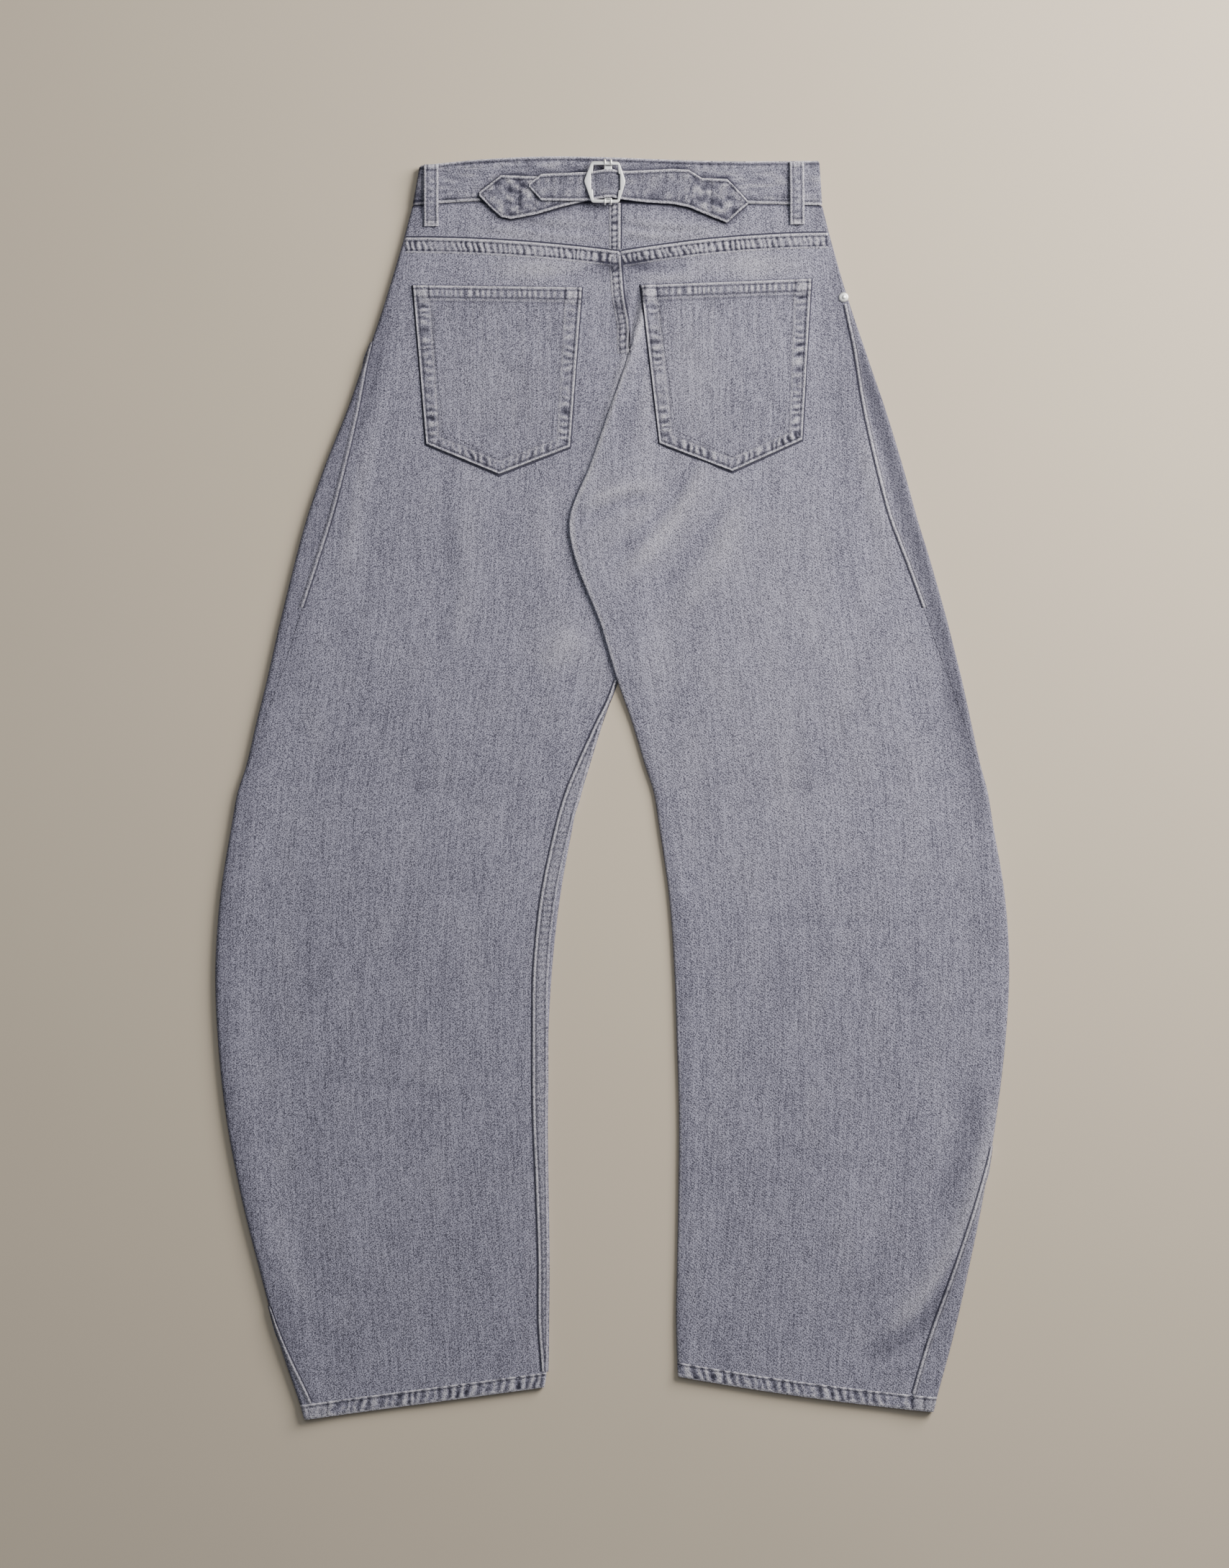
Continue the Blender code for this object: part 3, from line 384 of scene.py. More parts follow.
# Soft patches, lighter or darker where the amount is less than 0: faded wear on the thighs, the seat and
# below the yoke, then painted light round the centre seam and the folds
Fade = namedtuple("Fade", "x y half_width half_height amount")
FADES_AND_PAINTED_LIGHT = [
    Fade(-58.0, 433.0, 34.0, 10.0, 0.30),
    Fade(112.0, 436.0, 46.0, 10.0, 0.32),
    Fade(46.0, 462.0, 40.0, 9.0, 0.22),
    Fade(-52.0, 463.0, 50.0, 8.0, 0.16),
    Fade(16.0, 236.0, 40.0, 30.0, 0.16),
    Fade(84.0, 214.0, 60.0, 44.0, 0.14),
    Fade(130.0, 60.0, 110.0, 140.0, 0.10),
    Fade(30.0, 330.0, 10.0, 60.0, 0.16),
    Fade(-95.0, 330.0, 44.0, 34.0, 0.08),
    Fade(66.0, 350.0, 26.0, 50.0, 0.12),
    Fade(-44.0, 116.0, 26.0, 20.0, 0.16),
    # From here on painted light: painted shade below the yoke seam, beside the tuck and along the centre and
    # side folds, and painted highlights on the centre seam and along the tuck's roll
    Fade(20.0, 436.0, 24.0, 7.0, -0.5),
    Fade(-6.0, 437.0, 9.0, 8.0, -0.5),
    Fade(4.0, 402.0, 9.0, 30.0, -0.22),
    Fade(-1.0, 442.5, 5.0, 3.5, 0.6),
    Fade(1.0, 434.0, 6.0, 3.5, -0.2),
    Fade(2.5, 419.0, 5.0, 11.0, 0.3),
    Fade(5.0, 402.0, 4.5, 3.5, -0.45),
    Fade(25.0, 412.0, 4.0, 7.0, 0.4),
    Fade(21.5, 401.0, 4.0, 7.0, 0.45),
    Fade(18.0, 390.0, 4.0, 7.0, 0.4),
    Fade(14.5, 379.0, 3.5, 7.0, 0.35),
    Fade(30.0, 405.0, 3.0, 10.0, -0.45),
    Fade(12.5, 404.0, 3.0, 13.0, -0.35),
    Fade(-30.0, 330.0, 14.0, 60.0, -0.12),
    Fade(-188.0, 330.0, 16.0, 90.0, -0.14),
    Fade(196.0, 330.0, 12.0, 90.0, -0.24),
]


def fade_and_painted_light_at(x, y):
    """How much lighter, or darker where it is less than 0, the cloth is at x and y from faded wear, painted
    highlights and painted shade.
    """
    total = 0.0
    for fade in FADES_AND_PAINTED_LIGHT:
        off = ((x - fade.x) / fade.half_width) ** 2 + ((y - fade.y) / fade.half_height) ** 2
        if off < 6.0:
            total += fade.amount * math.exp(-off)
    return total


def rubbed(fine):
    """How pale a rubbed ridge is, with the fine grain of its cloth."""
    return 0.8 + 0.9 * fine


def cloth_shades(x, y, from_outer=100.0, outer_edge_shade=0.28):
    """Paleness and darkness of plain cloth: crease ridges painted pale and troughs dark, partly as wear and
    partly as painted highlight and painted shade, and painted shade towards the outer edge.
    """
    folds = sum(crease_height(crease, x, y) for crease in CREASES)
    # Faded wear and painted light of the patches, and crease ridges painted paler and troughs darker
    light = fade_and_painted_light_at(x, y) + 0.16 * folds + 0.1 * grain(x, y * 0.6, 26.0, 11.0)
    # Painted shade that darkens the cloth towards its outer edge, where it rounds down
    light -= outer_edge_shade * ease(1.0 - from_outer / 26.0)
    return max(0.0, light), max(0.0, -light)


def ladder(distance, pitch, seed):
    """Uneven puckers along a seam, from about -1 to 1."""
    phase = distance / pitch + 0.9 * grain(distance, seed * 7.0, 19.0)
    strength = 0.75 + 0.9 * grain(distance, seed * 3.0, 27.0, 5.0)
    return strength * math.sin(2.0 * math.pi * phase)


class Row:
    """One section of a leg, as cloth seen from the outer edge to the inner edge."""

    def __init__(self, section, plateau=0.0, uneven=True):
        self.section = section
        self.plateau = plateau
        self.uneven = uneven
        self.start = Vector((section.outer_x, section.outer_y, 0.0))
        run = Vector((section.inner_x, section.inner_y, 0.0)) - self.start
        self.length = run.length
        self.along = run.normalized()
        self.outer_radius = (EDGE_TOP - section.low) / 2
        self.inner_radius = max(0.4, (section.inner_top - section.inner_low) / 2)
        self.outer_quarter = self.outer_radius * math.pi / 2
        self.inner_quarter = self.inner_radius * math.pi / 2
        middle = (section.outer_x + section.inner_x) / 2
        lean = 0.5 * middle + 0.5 * math.copysign(150.0, section.outer_x)
        self.grain_line = abs(lean - section.outer_x)

    def top(self, s):
        """Height of the outer face of the upper layer at s from the outer edge."""
        section = self.section
        outer = ease(1.0 - (s - self.outer_radius) / EDGE_SLOPE)
        inner = ease(1.0 - (self.length - s - self.plateau) / CENTRE_SLOPE)
        rise = (EDGE_TOP - section.middle_top) * outer + (section.inner_top - section.middle_top) * inner
        height = section.middle_top + rise
        if self.uneven:
            spot = self.start + self.along * s
            hold = ease(s / 14.0) * ease((self.length - s) / 4.0)
            height += max(relief(spot.x, spot.y), -1.0) * hold
        return height

    def under(self, s):
        """Height of the outer face of the lower layer."""
        section = self.section
        if not section.folded:
            return section.low
        seam = self.length - self.inner_radius - max(0.0, -section.inseam)
        return lerp(section.low, section.inner_low, ease(1.0 - (seam - s) / UNDER_SLOPE))

    def place(self, s, z, cloth):
        """Point at s and z, with its place on the cloth: across from the grain line, and along."""
        bow = self.section.bow * 4.0 * (s / self.length) * (1.0 - s / self.length)
        point = self.start + self.along * s + Vector((0.0, bow, z))
        return point, (cloth - self.grain_line, point.y)

    def on_top(self, s):
        return self.place(s, self.top(s), s - self.outer_radius + self.outer_quarter)

    def beneath(self, s):
        return self.place(s, self.under(s), self.outer_radius - self.outer_quarter - s)

    def round_outer(self, distance):
        """Point at a distance along the cloth from the outer edge, upwards where it is more than 0."""
        radius = self.outer_radius
        if distance > self.outer_quarter:
            return self.on_top(radius + distance - self.outer_quarter)
        if distance < -self.outer_quarter:
            return self.beneath(radius - distance - self.outer_quarter)
        angle = distance / radius
        s = radius * (1.0 - math.cos(angle))
        return self.place(s, self.section.low + radius * (1.0 + math.sin(angle)), distance)

    def round_inner(self, distance):
        """Point at a distance along the cloth from the inner edge, upwards where it is more than 0."""
        radius = self.inner_radius
        if distance > self.inner_quarter:
            return self.on_top(self.length - radius - distance + self.inner_quarter)
        if distance < -self.inner_quarter and self.section.folded:
            return self.beneath(self.length - radius + distance + self.inner_quarter)
        angle = distance / radius
        s = self.length - radius * (1.0 - math.cos(angle))
        across = self.length - radius + self.inner_quarter - distance
        cloth = across - self.outer_radius + self.outer_quarter
        return self.place(s, self.section.inner_low + radius * (1.0 + math.sin(angle)), cloth)

    def spots(self, places, inner_edge_shade=0.0, inner_edge_highlight=0.0):
        """Places on this row with the wear and painted light of its cloth, painted shade towards its edges
        and a painted highlight along the inner rim.
        """
        found = []
        for point, cloth in places:
            s = (point - self.start).dot(self.along)
            from_inner = self.length - s
            # Painted shade towards the outer edge, stronger on the left leg and higher up on the right leg
            outer_edge_shade = 0.28 if point.x < 0.0 else 0.05 + 0.2 * ease((point.y + 60.0) / 160.0)
            worn, deep = cloth_shades(point.x, point.y, s, outer_edge_shade)
            # Painted shade along the inner edge and a painted highlight along the inner rim
            deep += inner_edge_shade * ease(1.0 - (from_inner - 1.0) / 13.0)
            worn += inner_edge_highlight * bell(from_inner - 1.0, 1.3) * (0.8 + 0.5 * grain(point.x, point.y, 3.0))
            found.append(Spot(point, cloth, worn, deep))
        return found

    def outer_reach(self, distance):
        """How far in from the outer edge a distance along the cloth brings a point."""
        return self.outer_radius + abs(distance) - self.outer_quarter

    def inner_reach(self, distance):
        return self.length - self.inner_radius - abs(distance) + self.inner_quarter


# Steps across a panel: round the side fold, along the run, over the level stretch, round the inner fold
# and along the strip past it
Steps = namedtuple("Steps", "turn run level inner strip")
BACK_STEPS = Steps(10, 58, 12, 10, 14)
FRONT_STEPS = Steps(8, 26, 6, 8, 8)
LEAST_ARC = 8.0
LEAST_STRIP = 1.2
FLAT_END = 12.0


def back_row(side, y):
    """The row of a back panel, with its level stretch under or over the centre fold."""
    section = section_at(side, y)
    if side == RIGHT:
        return Row(section, max(0.0, -section.inseam))
    overlap = section.inner_x - section_at(RIGHT, y).inner_x
    return Row(section, max(0.0, overlap + UNDER_MARGIN))


def front_row(side, y):
    """The row of a front panel, which ends on the centre front seam above the crotch."""
    section = section_at(side, y)
    if side == RIGHT and y > CROTCH_Y:
        centre = section_at(LEFT, y)
        section = section._replace(
            inner_x=centre.inner_x + SEAM_GAP, inner_y=centre.inner_y, inseam=0.0, inner_low=0.0, folded=0
        )
    return Row(section)


def back_points(row, steps):
    """Upper layer of a row, from the side seam to the inseam or the centre seam."""
    level = max(row.plateau, FLAT_END)
    first = row.section.side_seam + SEAM_GAP / 2
    turned = max(row.outer_quarter, first + LEAST_ARC)
    points = [row.round_outer(d) for d in spread(first, turned, steps.turn)]
    start = row.outer_reach(turned)
    if not row.section.folded:
        knee, last = row.length - level, row.length - SEAM_GAP / 2
        points += [row.on_top(s) for s in spread(start, knee, steps.run)[1:]]
        rest = steps.level + steps.inner + steps.strip
        return points + [row.on_top(s) for s in spread(knee, last, rest)[1:]]
    last = row.section.inseam + SEAM_GAP / 2
    turning = max(row.inner_quarter, last + LEAST_ARC)
    strip = max(-row.inner_quarter, last + LEAST_STRIP)
    end = row.inner_reach(turning)
    points += [row.on_top(s) for s in spread(start, end - level, steps.run)[1:]]
    points += [row.on_top(s) for s in spread(end - level, end, steps.level)[1:]]
    points += [row.round_inner(d) for d in spread(turning, strip, steps.inner)[1:]]
    return points + [row.round_inner(d) for d in spread(strip, last, steps.strip)[1:]]


def front_points(row, steps):
    """Lower layer of a row, from the side seam round beneath to the inseam or the centre seam."""
    first = row.section.side_seam - SEAM_GAP / 2
    strip = min(row.outer_quarter, first - LEAST_STRIP)
    turned = min(-row.outer_quarter, strip - LEAST_ARC / 2)
    points = [row.round_outer(d) for d in spread(first, strip, steps.strip)]
    points += [row.round_outer(d) for d in spread(strip, turned, steps.turn)[1:]]
    start = row.outer_reach(turned)
    if not row.section.folded:
        flat, last = row.length - FLAT_END, row.length - SEAM_GAP / 2
        points += [row.beneath(s) for s in spread(start, flat, steps.run + steps.level)[1:]]
        return points + [row.beneath(s) for s in spread(flat, last, steps.inner + steps.strip)[1:]]
    last = row.section.inseam - SEAM_GAP / 2
    turning = min(-row.inner_quarter, last - LEAST_ARC)
    strip = min(row.inner_quarter, last - LEAST_STRIP)
    end = row.inner_reach(turning)
    foot = end - UNDER_SLOPE
    points += [row.beneath(s) for s in spread(start, foot, steps.run)[1:]]
    points += [row.beneath(s) for s in spread(foot, end, steps.level)[1:]]
    points += [row.round_inner(d) for d in spread(turning, strip, steps.inner)[1:]]
    return points + [row.round_inner(d) for d in spread(strip, last, steps.strip)[1:]]


def blend_sections(a, b, t):
    """A section at a share of the way between two."""
    values = [lerp(x, y, t) for x, y in zip(a, b)]
    return Section(*values)._replace(folded=a.folded)


# Meshes


# A place with its cloth map, how pale it is from wear and painted highlights, and how dark from darker cloth
# and painted shade
Spot = namedtuple("Spot", "point cloth worn deep", defaults=(0.0, 0.0))


def mapped_grid(rows, merge=False, capped=False):
    """A grid whose points go to rows of spots, with their cloth map and their pale and dark painted values.
    """
    count, columns = len(rows), len(rows[0])
    bm = bmesh.new()
    cloth = bm.loops.layers.uv.new("Cloth")
    worn, deep = bm.verts.layers.float.new("worn"), bm.verts.layers.float.new("deep")
    bmesh.ops.create_grid(bm, x_segments=columns - 1, y_segments=count - 1, size=0.5)
    found = {}
    for vert in bm.verts:
        column = round((vert.co.x + 0.5) * (columns - 1))
        row = round((vert.co.y + 0.5) * (count - 1))
        found[vert] = rows[row][column]
    for vert, spot in found.items():
        vert.co = spot.point * MM
        vert[worn], vert[deep] = max(0.0, spot.worn), max(0.0, spot.deep)
    for face in bm.faces:
        for loop in face.loops:
            place = found[loop.vert].cloth
            loop[cloth].uv = (place[0] * MM, place[1] * MM)
    if merge:
        bmesh.ops.remove_doubles(bm, verts=bm.verts, dist=1e-6)
        if capped:
            bmesh.ops.holes_fill(bm, edges=[edge for edge in bm.edges if edge.is_boundary], sides=0)
        bmesh.ops.recalc_face_normals(bm, faces=bm.faces)
    return bm


def add_piece(name, bm, looks, nodes=(), smooth_angle=50.0):
    """Turns a mesh into a finished piece on the garment's only body."""
    mesh = bpy.data.meshes.new(name)
    bm.to_mesh(mesh)
    bm.free()
    mesh.shade_smooth()
    mesh.set_sharp_from_angle(angle=math.radians(smooth_angle))
    piece = bpy.data.objects.new(name, mesh)
    bpy.context.scene.collection.objects.link(piece)
    for look in looks:
        mesh.materials.append(bpy.data.materials[look])
    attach(piece, "root")
    if nodes:
        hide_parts(*nodes)
    return piece


def face_outwards(bm, up):
    """Turns every face of an open sheet so that its middle faces up or down."""
    bm.normal_update()
    total = sum((face.normal * face.calc_area() for face in bm.faces), Vector())
    if total.z * up < 0:
        bmesh.ops.reverse_faces(bm, faces=bm.faces)
    bm.normal_update()


def thicken(bm, wall, up=1):
    """Gives an open sheet its wall, inwards from the face that it was made as."""
    face_outwards(bm, up)
    bmesh.ops.solidify(bm, geom=bm.faces[:], thickness=wall * MM)


class Ground:
    """Finished pieces, for finding the height of their upper face."""

    def __init__(self, *pieces):
        self.trees = []
        for piece in pieces:
            mesh = piece.data
            mesh.calc_loop_triangles()
            points = [vert.co.copy() for vert in mesh.vertices]
            faces = [tuple(triangle.vertices) for triangle in mesh.loop_triangles]
            self.trees.append(BVHTree.FromPolygons(points, faces))

    def height(self, x, y, missing=0.0):
        best = missing
        for tree in self.trees:
            hit = tree.ray_cast(Vector((x * MM, y * MM, 1.0)), Vector((0.0, 0.0, -1.0)))
            if hit[0] is not None:
                best = max(best, hit[0].z / MM)
        return best

    def bridged(self, x, y, reach=1.0, step=1.5):
        """The height at a place, or beside it where it falls in the narrow gap between two panels."""
        here = self.height(x, y)
        beside = min(
            max(self.height(x - reach, y), self.height(x, y - reach)),
            max(self.height(x + reach, y), self.height(x, y + reach)),
        )
        return beside if beside - here > step else here


def piece_named(name):
    return bpy.data.objects[name]


def along_path(points, step):
    """Even places along a smooth line through points: place, direction and distance of each."""
    dense = []
    for i in range(len(points) - 1):
        before, after = points[max(i - 1, 0)], points[min(i + 2, len(points) - 1)]
        a, b = points[i], points[i + 1]
        for k in range(12):
            t = k / 12.0
            place = []
            for p, q, r, s in zip(before, a, b, after):
                square = (2 * p - 5 * q + 4 * r - s) * t**2
                place.append(0.5 * (2 * q + (r - p) * t + square + (3 * q - p - 3 * r + s) * t**3))
            dense.append(Vector(place))
    dense.append(Vector(points[-1]))
    lengths = [0.0]
    for a, b in zip(dense, dense[1:]):
        lengths.append(lengths[-1] + (b - a).length)
    total = lengths[-1]
    count = max(2, round(total / step))
    found, i = [], 0
    for k in range(count + 1):
        want = total * k / count
        while i < len(dense) - 2 and lengths[i + 1] < want:
            i += 1
        share = (want - lengths[i]) / max(lengths[i + 1] - lengths[i], 1e-9)
        direction = (dense[i + 1] - dense[i]).normalized()
        found.append((dense[i].lerp(dense[i + 1], share), direction, want))
    return found


# Looks


def node(tree, kind, **values):
    made = tree.nodes.new(kind)
    for key, value in values.items():
        setattr(made, key, value)
    return made


def link(tree, source, target):
    tree.links.new(source, target)


# The unevenness of the weave, from streaks of warp to soft mottling: features to the metre across the threads
# and along them, the noise's detail and roughness, and its weight in the cloth's shade
Threads = namedtuple("Threads", "across along detail roughness weight")
WEAVE = {
    "slub": Threads(600.0, 17.0, 3.0, 0.72, 0.95),
    "warp": Threads(940.0, 95.0, 2.0, 0.75, 0.9),
    "fleck": Threads(860.0, 620.0, 1.0, 0.75, 0.25),
    "grit": Threads(1250.0, 1080.0, 0.0, 0.5, 2.0),
    "speck": Threads(2100.0, 1700.0, 1.0, 0.8, 2.2),
    "cloud": Threads(190.0, 90.0, 2.0, 0.6, 0.18),
    "mottle": Threads(20.0, 11.0, 4.0, 0.6, 0.3),
}
STREAKS = ("slub", "warp")
TWILL_WEIGHT = 0.15
# Share of the pale threads in plain cloth, before wear, painted highlights and painted shade are laid on
MIDDLE_SHADE = 0.42
# Turn of the noise against the threads, so that its own lattice doesn't show
OFF_LATTICE = (0.35, 0.25, 0.6)


def woven_noise(tree, cloth, threads):
    """Noise on the cloth map, stretched along the threads."""
    mapping = node(tree, "ShaderNodeMapping")
    set_inputs(mapping, Scale=(threads.across, threads.along, 1.0), Rotation=OFF_LATTICE)
    link(tree, cloth, mapping.inputs["Vector"])
    made = node(tree, "ShaderNodeTexNoise")
    set_inputs(made, Scale=1.0, Detail=threads.detail, Roughness=threads.roughness)
    link(tree, mapping.outputs["Vector"], made.inputs["Vector"])
    return made.outputs["Fac"]


def math_node(tree, operation, a, b):
    made = node(tree, "ShaderNodeMath", operation=operation)
    for socket, value in zip(made.inputs, (a, b)):
        if isinstance(value, (int, float)):
            socket.default_value = value
        else:
            link(tree, value, socket)
    return made.outputs["Value"]


def colour_sockets(sockets):
    """The colour sockets of a Mix node, which share their names with its other kinds."""
    return [socket for socket in sockets if socket.type == "RGBA"]


def blended(tree, share, a, b):
    """Colour a where share is 0 and b where it is 1."""
    made = node(tree, "ShaderNodeMix", data_type="RGBA")
    link(tree, share, made.inputs["Factor"])
    for socket, value in zip(colour_sockets(made.inputs), (a, b)):
        if isinstance(value, tuple):
            socket.default_value = (*value, 1.0)
        else:
            link(tree, value, socket)
    return colour_sockets(made.outputs)[0]


def clamped(tree, value):
    made = node(tree, "ShaderNodeClamp")
    link(tree, value, made.inputs["Value"])
    return made.outputs["Result"]


def toned(colour, tone):
    return tuple(channel * tone for channel in colour)


def new_look(name):
    """The nodes and the shader of a new material."""
    look = bpy.data.materials.new(name)
    look.use_nodes = True
    return look.node_tree, look.node_tree.nodes["Principled BSDF"]


def set_inputs(made, **values):
    """Gives a node's inputs their values. A space in an input's name is written as an underscore."""
    for key, value in values.items():
        made.inputs[key.replace("_", " ")].default_value = value


def object_noise(tree, scale, detail):
    """Noise on Object coordinates, in features to the metre."""
    where = node(tree, "ShaderNodeTexCoord")
    made = node(tree, "ShaderNodeTexNoise")
    set_inputs(made, Scale=scale, Detail=detail)
    link(tree, where.outputs["Object"], made.inputs["Vector"])
    return made.outputs["Fac"]


def add_bump(tree, shader, height, strength, distance):
    bump = node(tree, "ShaderNodeBump")
    set_inputs(bump, Strength=strength, Distance=distance)
    link(tree, height, bump.inputs["Height"])
    link(tree, bump.outputs["Normal"], shader.inputs["Normal"])


def painted(tree, name):
    """One of the two values that the meshes carry at their points: the pale one of wear and painted
    highlights, the dark one of darker cloth and painted shade.
    """
    made = node(tree, "ShaderNodeAttribute", attribute_type="GEOMETRY", attribute_name=name)
    return made.outputs["Fac"]


def denim_material(name, settings, turn=0.0, tone=1.0, streaks=1.0):
    """Twill with uneven warp threads and mottling, pale where the meshes carry wear and painted highlights,
    and dark where they carry darker cloth and painted shade in grooves, folds and shadows.
    """
    tree, shader = new_look(name)
    uv = node(tree, "ShaderNodeUVMap", uv_map="Cloth")
    turned = node(tree, "ShaderNodeMapping")
    set_inputs(turned, Rotation=(0.0, 0.0, turn))
    link(tree, uv.outputs["UV"], turned.inputs["Vector"])
    cloth = turned.outputs["Vector"]

    weave, level = {}, MIDDLE_SHADE
    for part, threads in WEAVE.items():
        weave[part] = woven_noise(tree, cloth, threads)
        weight = threads.weight * (streaks if part in STREAKS else 1.0)
        level = math_node(tree, "ADD", level, centred(tree, weave[part], weight))
    twill = twill_ribs(tree, cloth, settings.twill_scale)
    level = math_node(tree, "ADD", level, centred(tree, twill, TWILL_WEIGHT))

    dark, light = toned(settings.denim_dark, tone), toned(settings.denim_light, tone)
    colour = blended(tree, clamped(tree, level), dark, light)
    # Pale colour for wear and painted highlights, then dark colour for darker cloth and painted shade
    fray = math_node(tree, "ADD", 0.75, centred(tree, weave["grit"], 2.2))
    worn = clamped(tree, math_node(tree, "MULTIPLY", painted(tree, "worn"), fray))
    colour = blended(tree, worn, colour, tuple(settings.denim_pale_and_painted_highlight))
    colour = blended(tree, clamped(tree, painted(tree, "deep")), colour, tuple(settings.denim_dark_and_painted_shade))
    link(tree, colour, shader.inputs["Base Color"])

    rough = math_node(tree, "ADD", 0.78, math_node(tree, "MULTIPLY", weave["speck"], 0.16))
    link(tree, rough, shader.inputs["Roughness"])
    set_inputs(shader, Sheen_Weight=0.08, Sheen_Roughness=0.5, Specular_IOR_Level=0.2)
    height = math_node(tree, "MULTIPLY", weave["slub"], 0.5)
    height = math_node(tree, "ADD", height, math_node(tree, "MULTIPLY", twill, 0.25))
    height = math_node(tree, "ADD", height, math_node(tree, "MULTIPLY", weave["grit"], 0.9))
    add_bump(tree, shader, height, 0.6, 0.0004)


def centred(tree, source, weight):
    """A noise about 0 instead of a half, at a weight."""
    return math_node(tree, "MULTIPLY", math_node(tree, "SUBTRACT", source, 0.5), weight)


def twill_ribs(tree, cloth, scale):
    """The slanting ribs of the weave."""
    slanted = node(tree, "ShaderNodeMapping")
    set_inputs(slanted, Rotation=(0.0, 0.0, math.radians(55.0)))
    link(tree, cloth, slanted.inputs["Vector"])
    ribs = node(tree, "ShaderNodeTexWave", wave_type="BANDS", bands_direction="X", wave_profile="SIN")
    set_inputs(ribs, Scale=scale, Distortion=3.0, Detail=2.0, Detail_Scale=2.0)
    link(tree, slanted.outputs["Vector"], ribs.inputs["Vector"])
    return ribs.outputs["Fac"]


def thread_material(name, settings):
    """Cotton sewing thread with a fuzz of paler and darker places."""
    tree, shader = new_look(name)
    fuzz = object_noise(tree, 700.0, 2.0)
    colour = blended(tree, fuzz, toned(settings.thread, 0.7), toned(settings.thread, 1.4))
    link(tree, colour, shader.inputs["Base Color"])
    set_inputs(shader, Roughness=0.7)


def metal_material(name, settings):
    """Polished nickel plate with faint wear in its gloss."""
    tree, shader = new_look(name)
    scuff = object_noise(tree, 260.0, 4.0)
    colour = blended(tree, scuff, toned(settings.metal, 0.86), tuple(settings.metal))
    link(tree, colour, shader.inputs["Base Color"])
    rough = math_node(tree, "ADD", 0.3, math_node(tree, "MULTIPLY", scuff, 0.18))
    link(tree, rough, shader.inputs["Roughness"])
    set_inputs(shader, Metallic=0.75)
    add_bump(tree, shader, scuff, 0.1, 0.0001)


def floor_material(name, settings):
    """A plain pale floor with a slight cloudiness."""
    tree, shader = new_look(name)
    cloud = object_noise(tree, 5.0, 6.0)
    colour = blended(tree, cloud, toned(settings.floor, 0.95), tuple(settings.floor))
    link(tree, colour, shader.inputs["Base Color"])
    set_inputs(shader, Roughness=0.9)


# Sizes and colours that a user would change


def colour_setting(name, description, default):
    return FloatVectorProperty(
        name=name, description=description, default=default, subtype="COLOR", min=0.0, max=1.0
    )


def length_setting(name, description, default):
    return FloatProperty(name=name, description=description, default=default, min=0.001, unit="LENGTH")


class JeansSettings(bpy.types.PropertyGroup):
    row_step: length_setting("Row step", "Distance between rows of the panels' meshes", 0.0036)
    stitch_length: length_setting("Stitch length", "Length of one stitch", 0.0027)
    stitch_pitch: length_setting("Stitch pitch", "Distance from stitch to stitch", 0.0035)
    twill_scale: FloatProperty(
        name="Twill scale", description="Diagonal ribs of the weave, in waves to the metre over 20",
        default=150.0, min=1.0,
    )
    denim_dark: colour_setting(
        "Denim, dark threads", "Colour of the darkest warp threads", (0.072, 0.07, 0.1)
    )
    denim_light: colour_setting(
        "Denim, light threads", "Colour of the palest threads", (0.452, 0.442, 0.56)
    )
    # Pale colour of rubbed edges and ridges, also used for painted highlights on crease ridges, puckers and
    # fold edges
    denim_pale_and_painted_highlight: colour_setting(
        "Denim, worn ridges", "Colour of rubbed seam ridges and edges", (0.62, 0.6, 0.66)
    )
    # Dark colour of painted shade in grooves, folds and shadows beside seams, pockets and straps, also used
    # for darker unfaded cloth
    denim_dark_and_painted_shade: colour_setting(
        "Denim, grooves", "Colour in the grooves beside seams", (0.035, 0.034, 0.055)
    )
    thread: colour_setting("Thread", "Colour of the sewing thread", (0.1, 0.098, 0.13))
    metal: colour_setting("Metal", "Colour of buckle, rivet and button", (0.93, 0.92, 0.9))
    floor: colour_setting("Floor", "Colour of the floor", (0.64, 0.55, 0.43))
    seed: IntProperty(name="Seed", description="Start of the random unevenness of stitches", default=7)


def settings():
    return bpy.context.scene.jeans_settings


# Pieces


class JEANS_OT_materials(bpy.types.Operator):
    """Make the denim, thread, metal and floor materials"""

    bl_idname = "jeans.materials"
    bl_label = "Materials"

    def execute(self, context):
        chosen = settings()
        denim_material("denim_legs", chosen)
        denim_material("denim_yoke", chosen, tone=0.98)
        denim_material("denim_pockets", chosen, tone=0.95, streaks=1.15)
        denim_material("denim_seam", chosen, tone=1.02)
        denim_material("denim_band", chosen, turn=math.pi / 2, tone=0.9)
        denim_material("denim_strap", chosen, turn=0.0, tone=0.8)
        thread_material("sewing_thread", chosen)
        metal_material("nickel_plate", chosen)
        floor_material("floor_screed", chosen)
        return {"FINISHED"}


def panel_levels(side, step):
    """Heights of a panel's rows, from inside the hem to the yoke seam."""
    low, high = LEGS[side][0].outer_y + PANEL_ABOVE_HEM, LEGS[side][-1].outer_y
    return spread(low, high, round((high - low) / step))


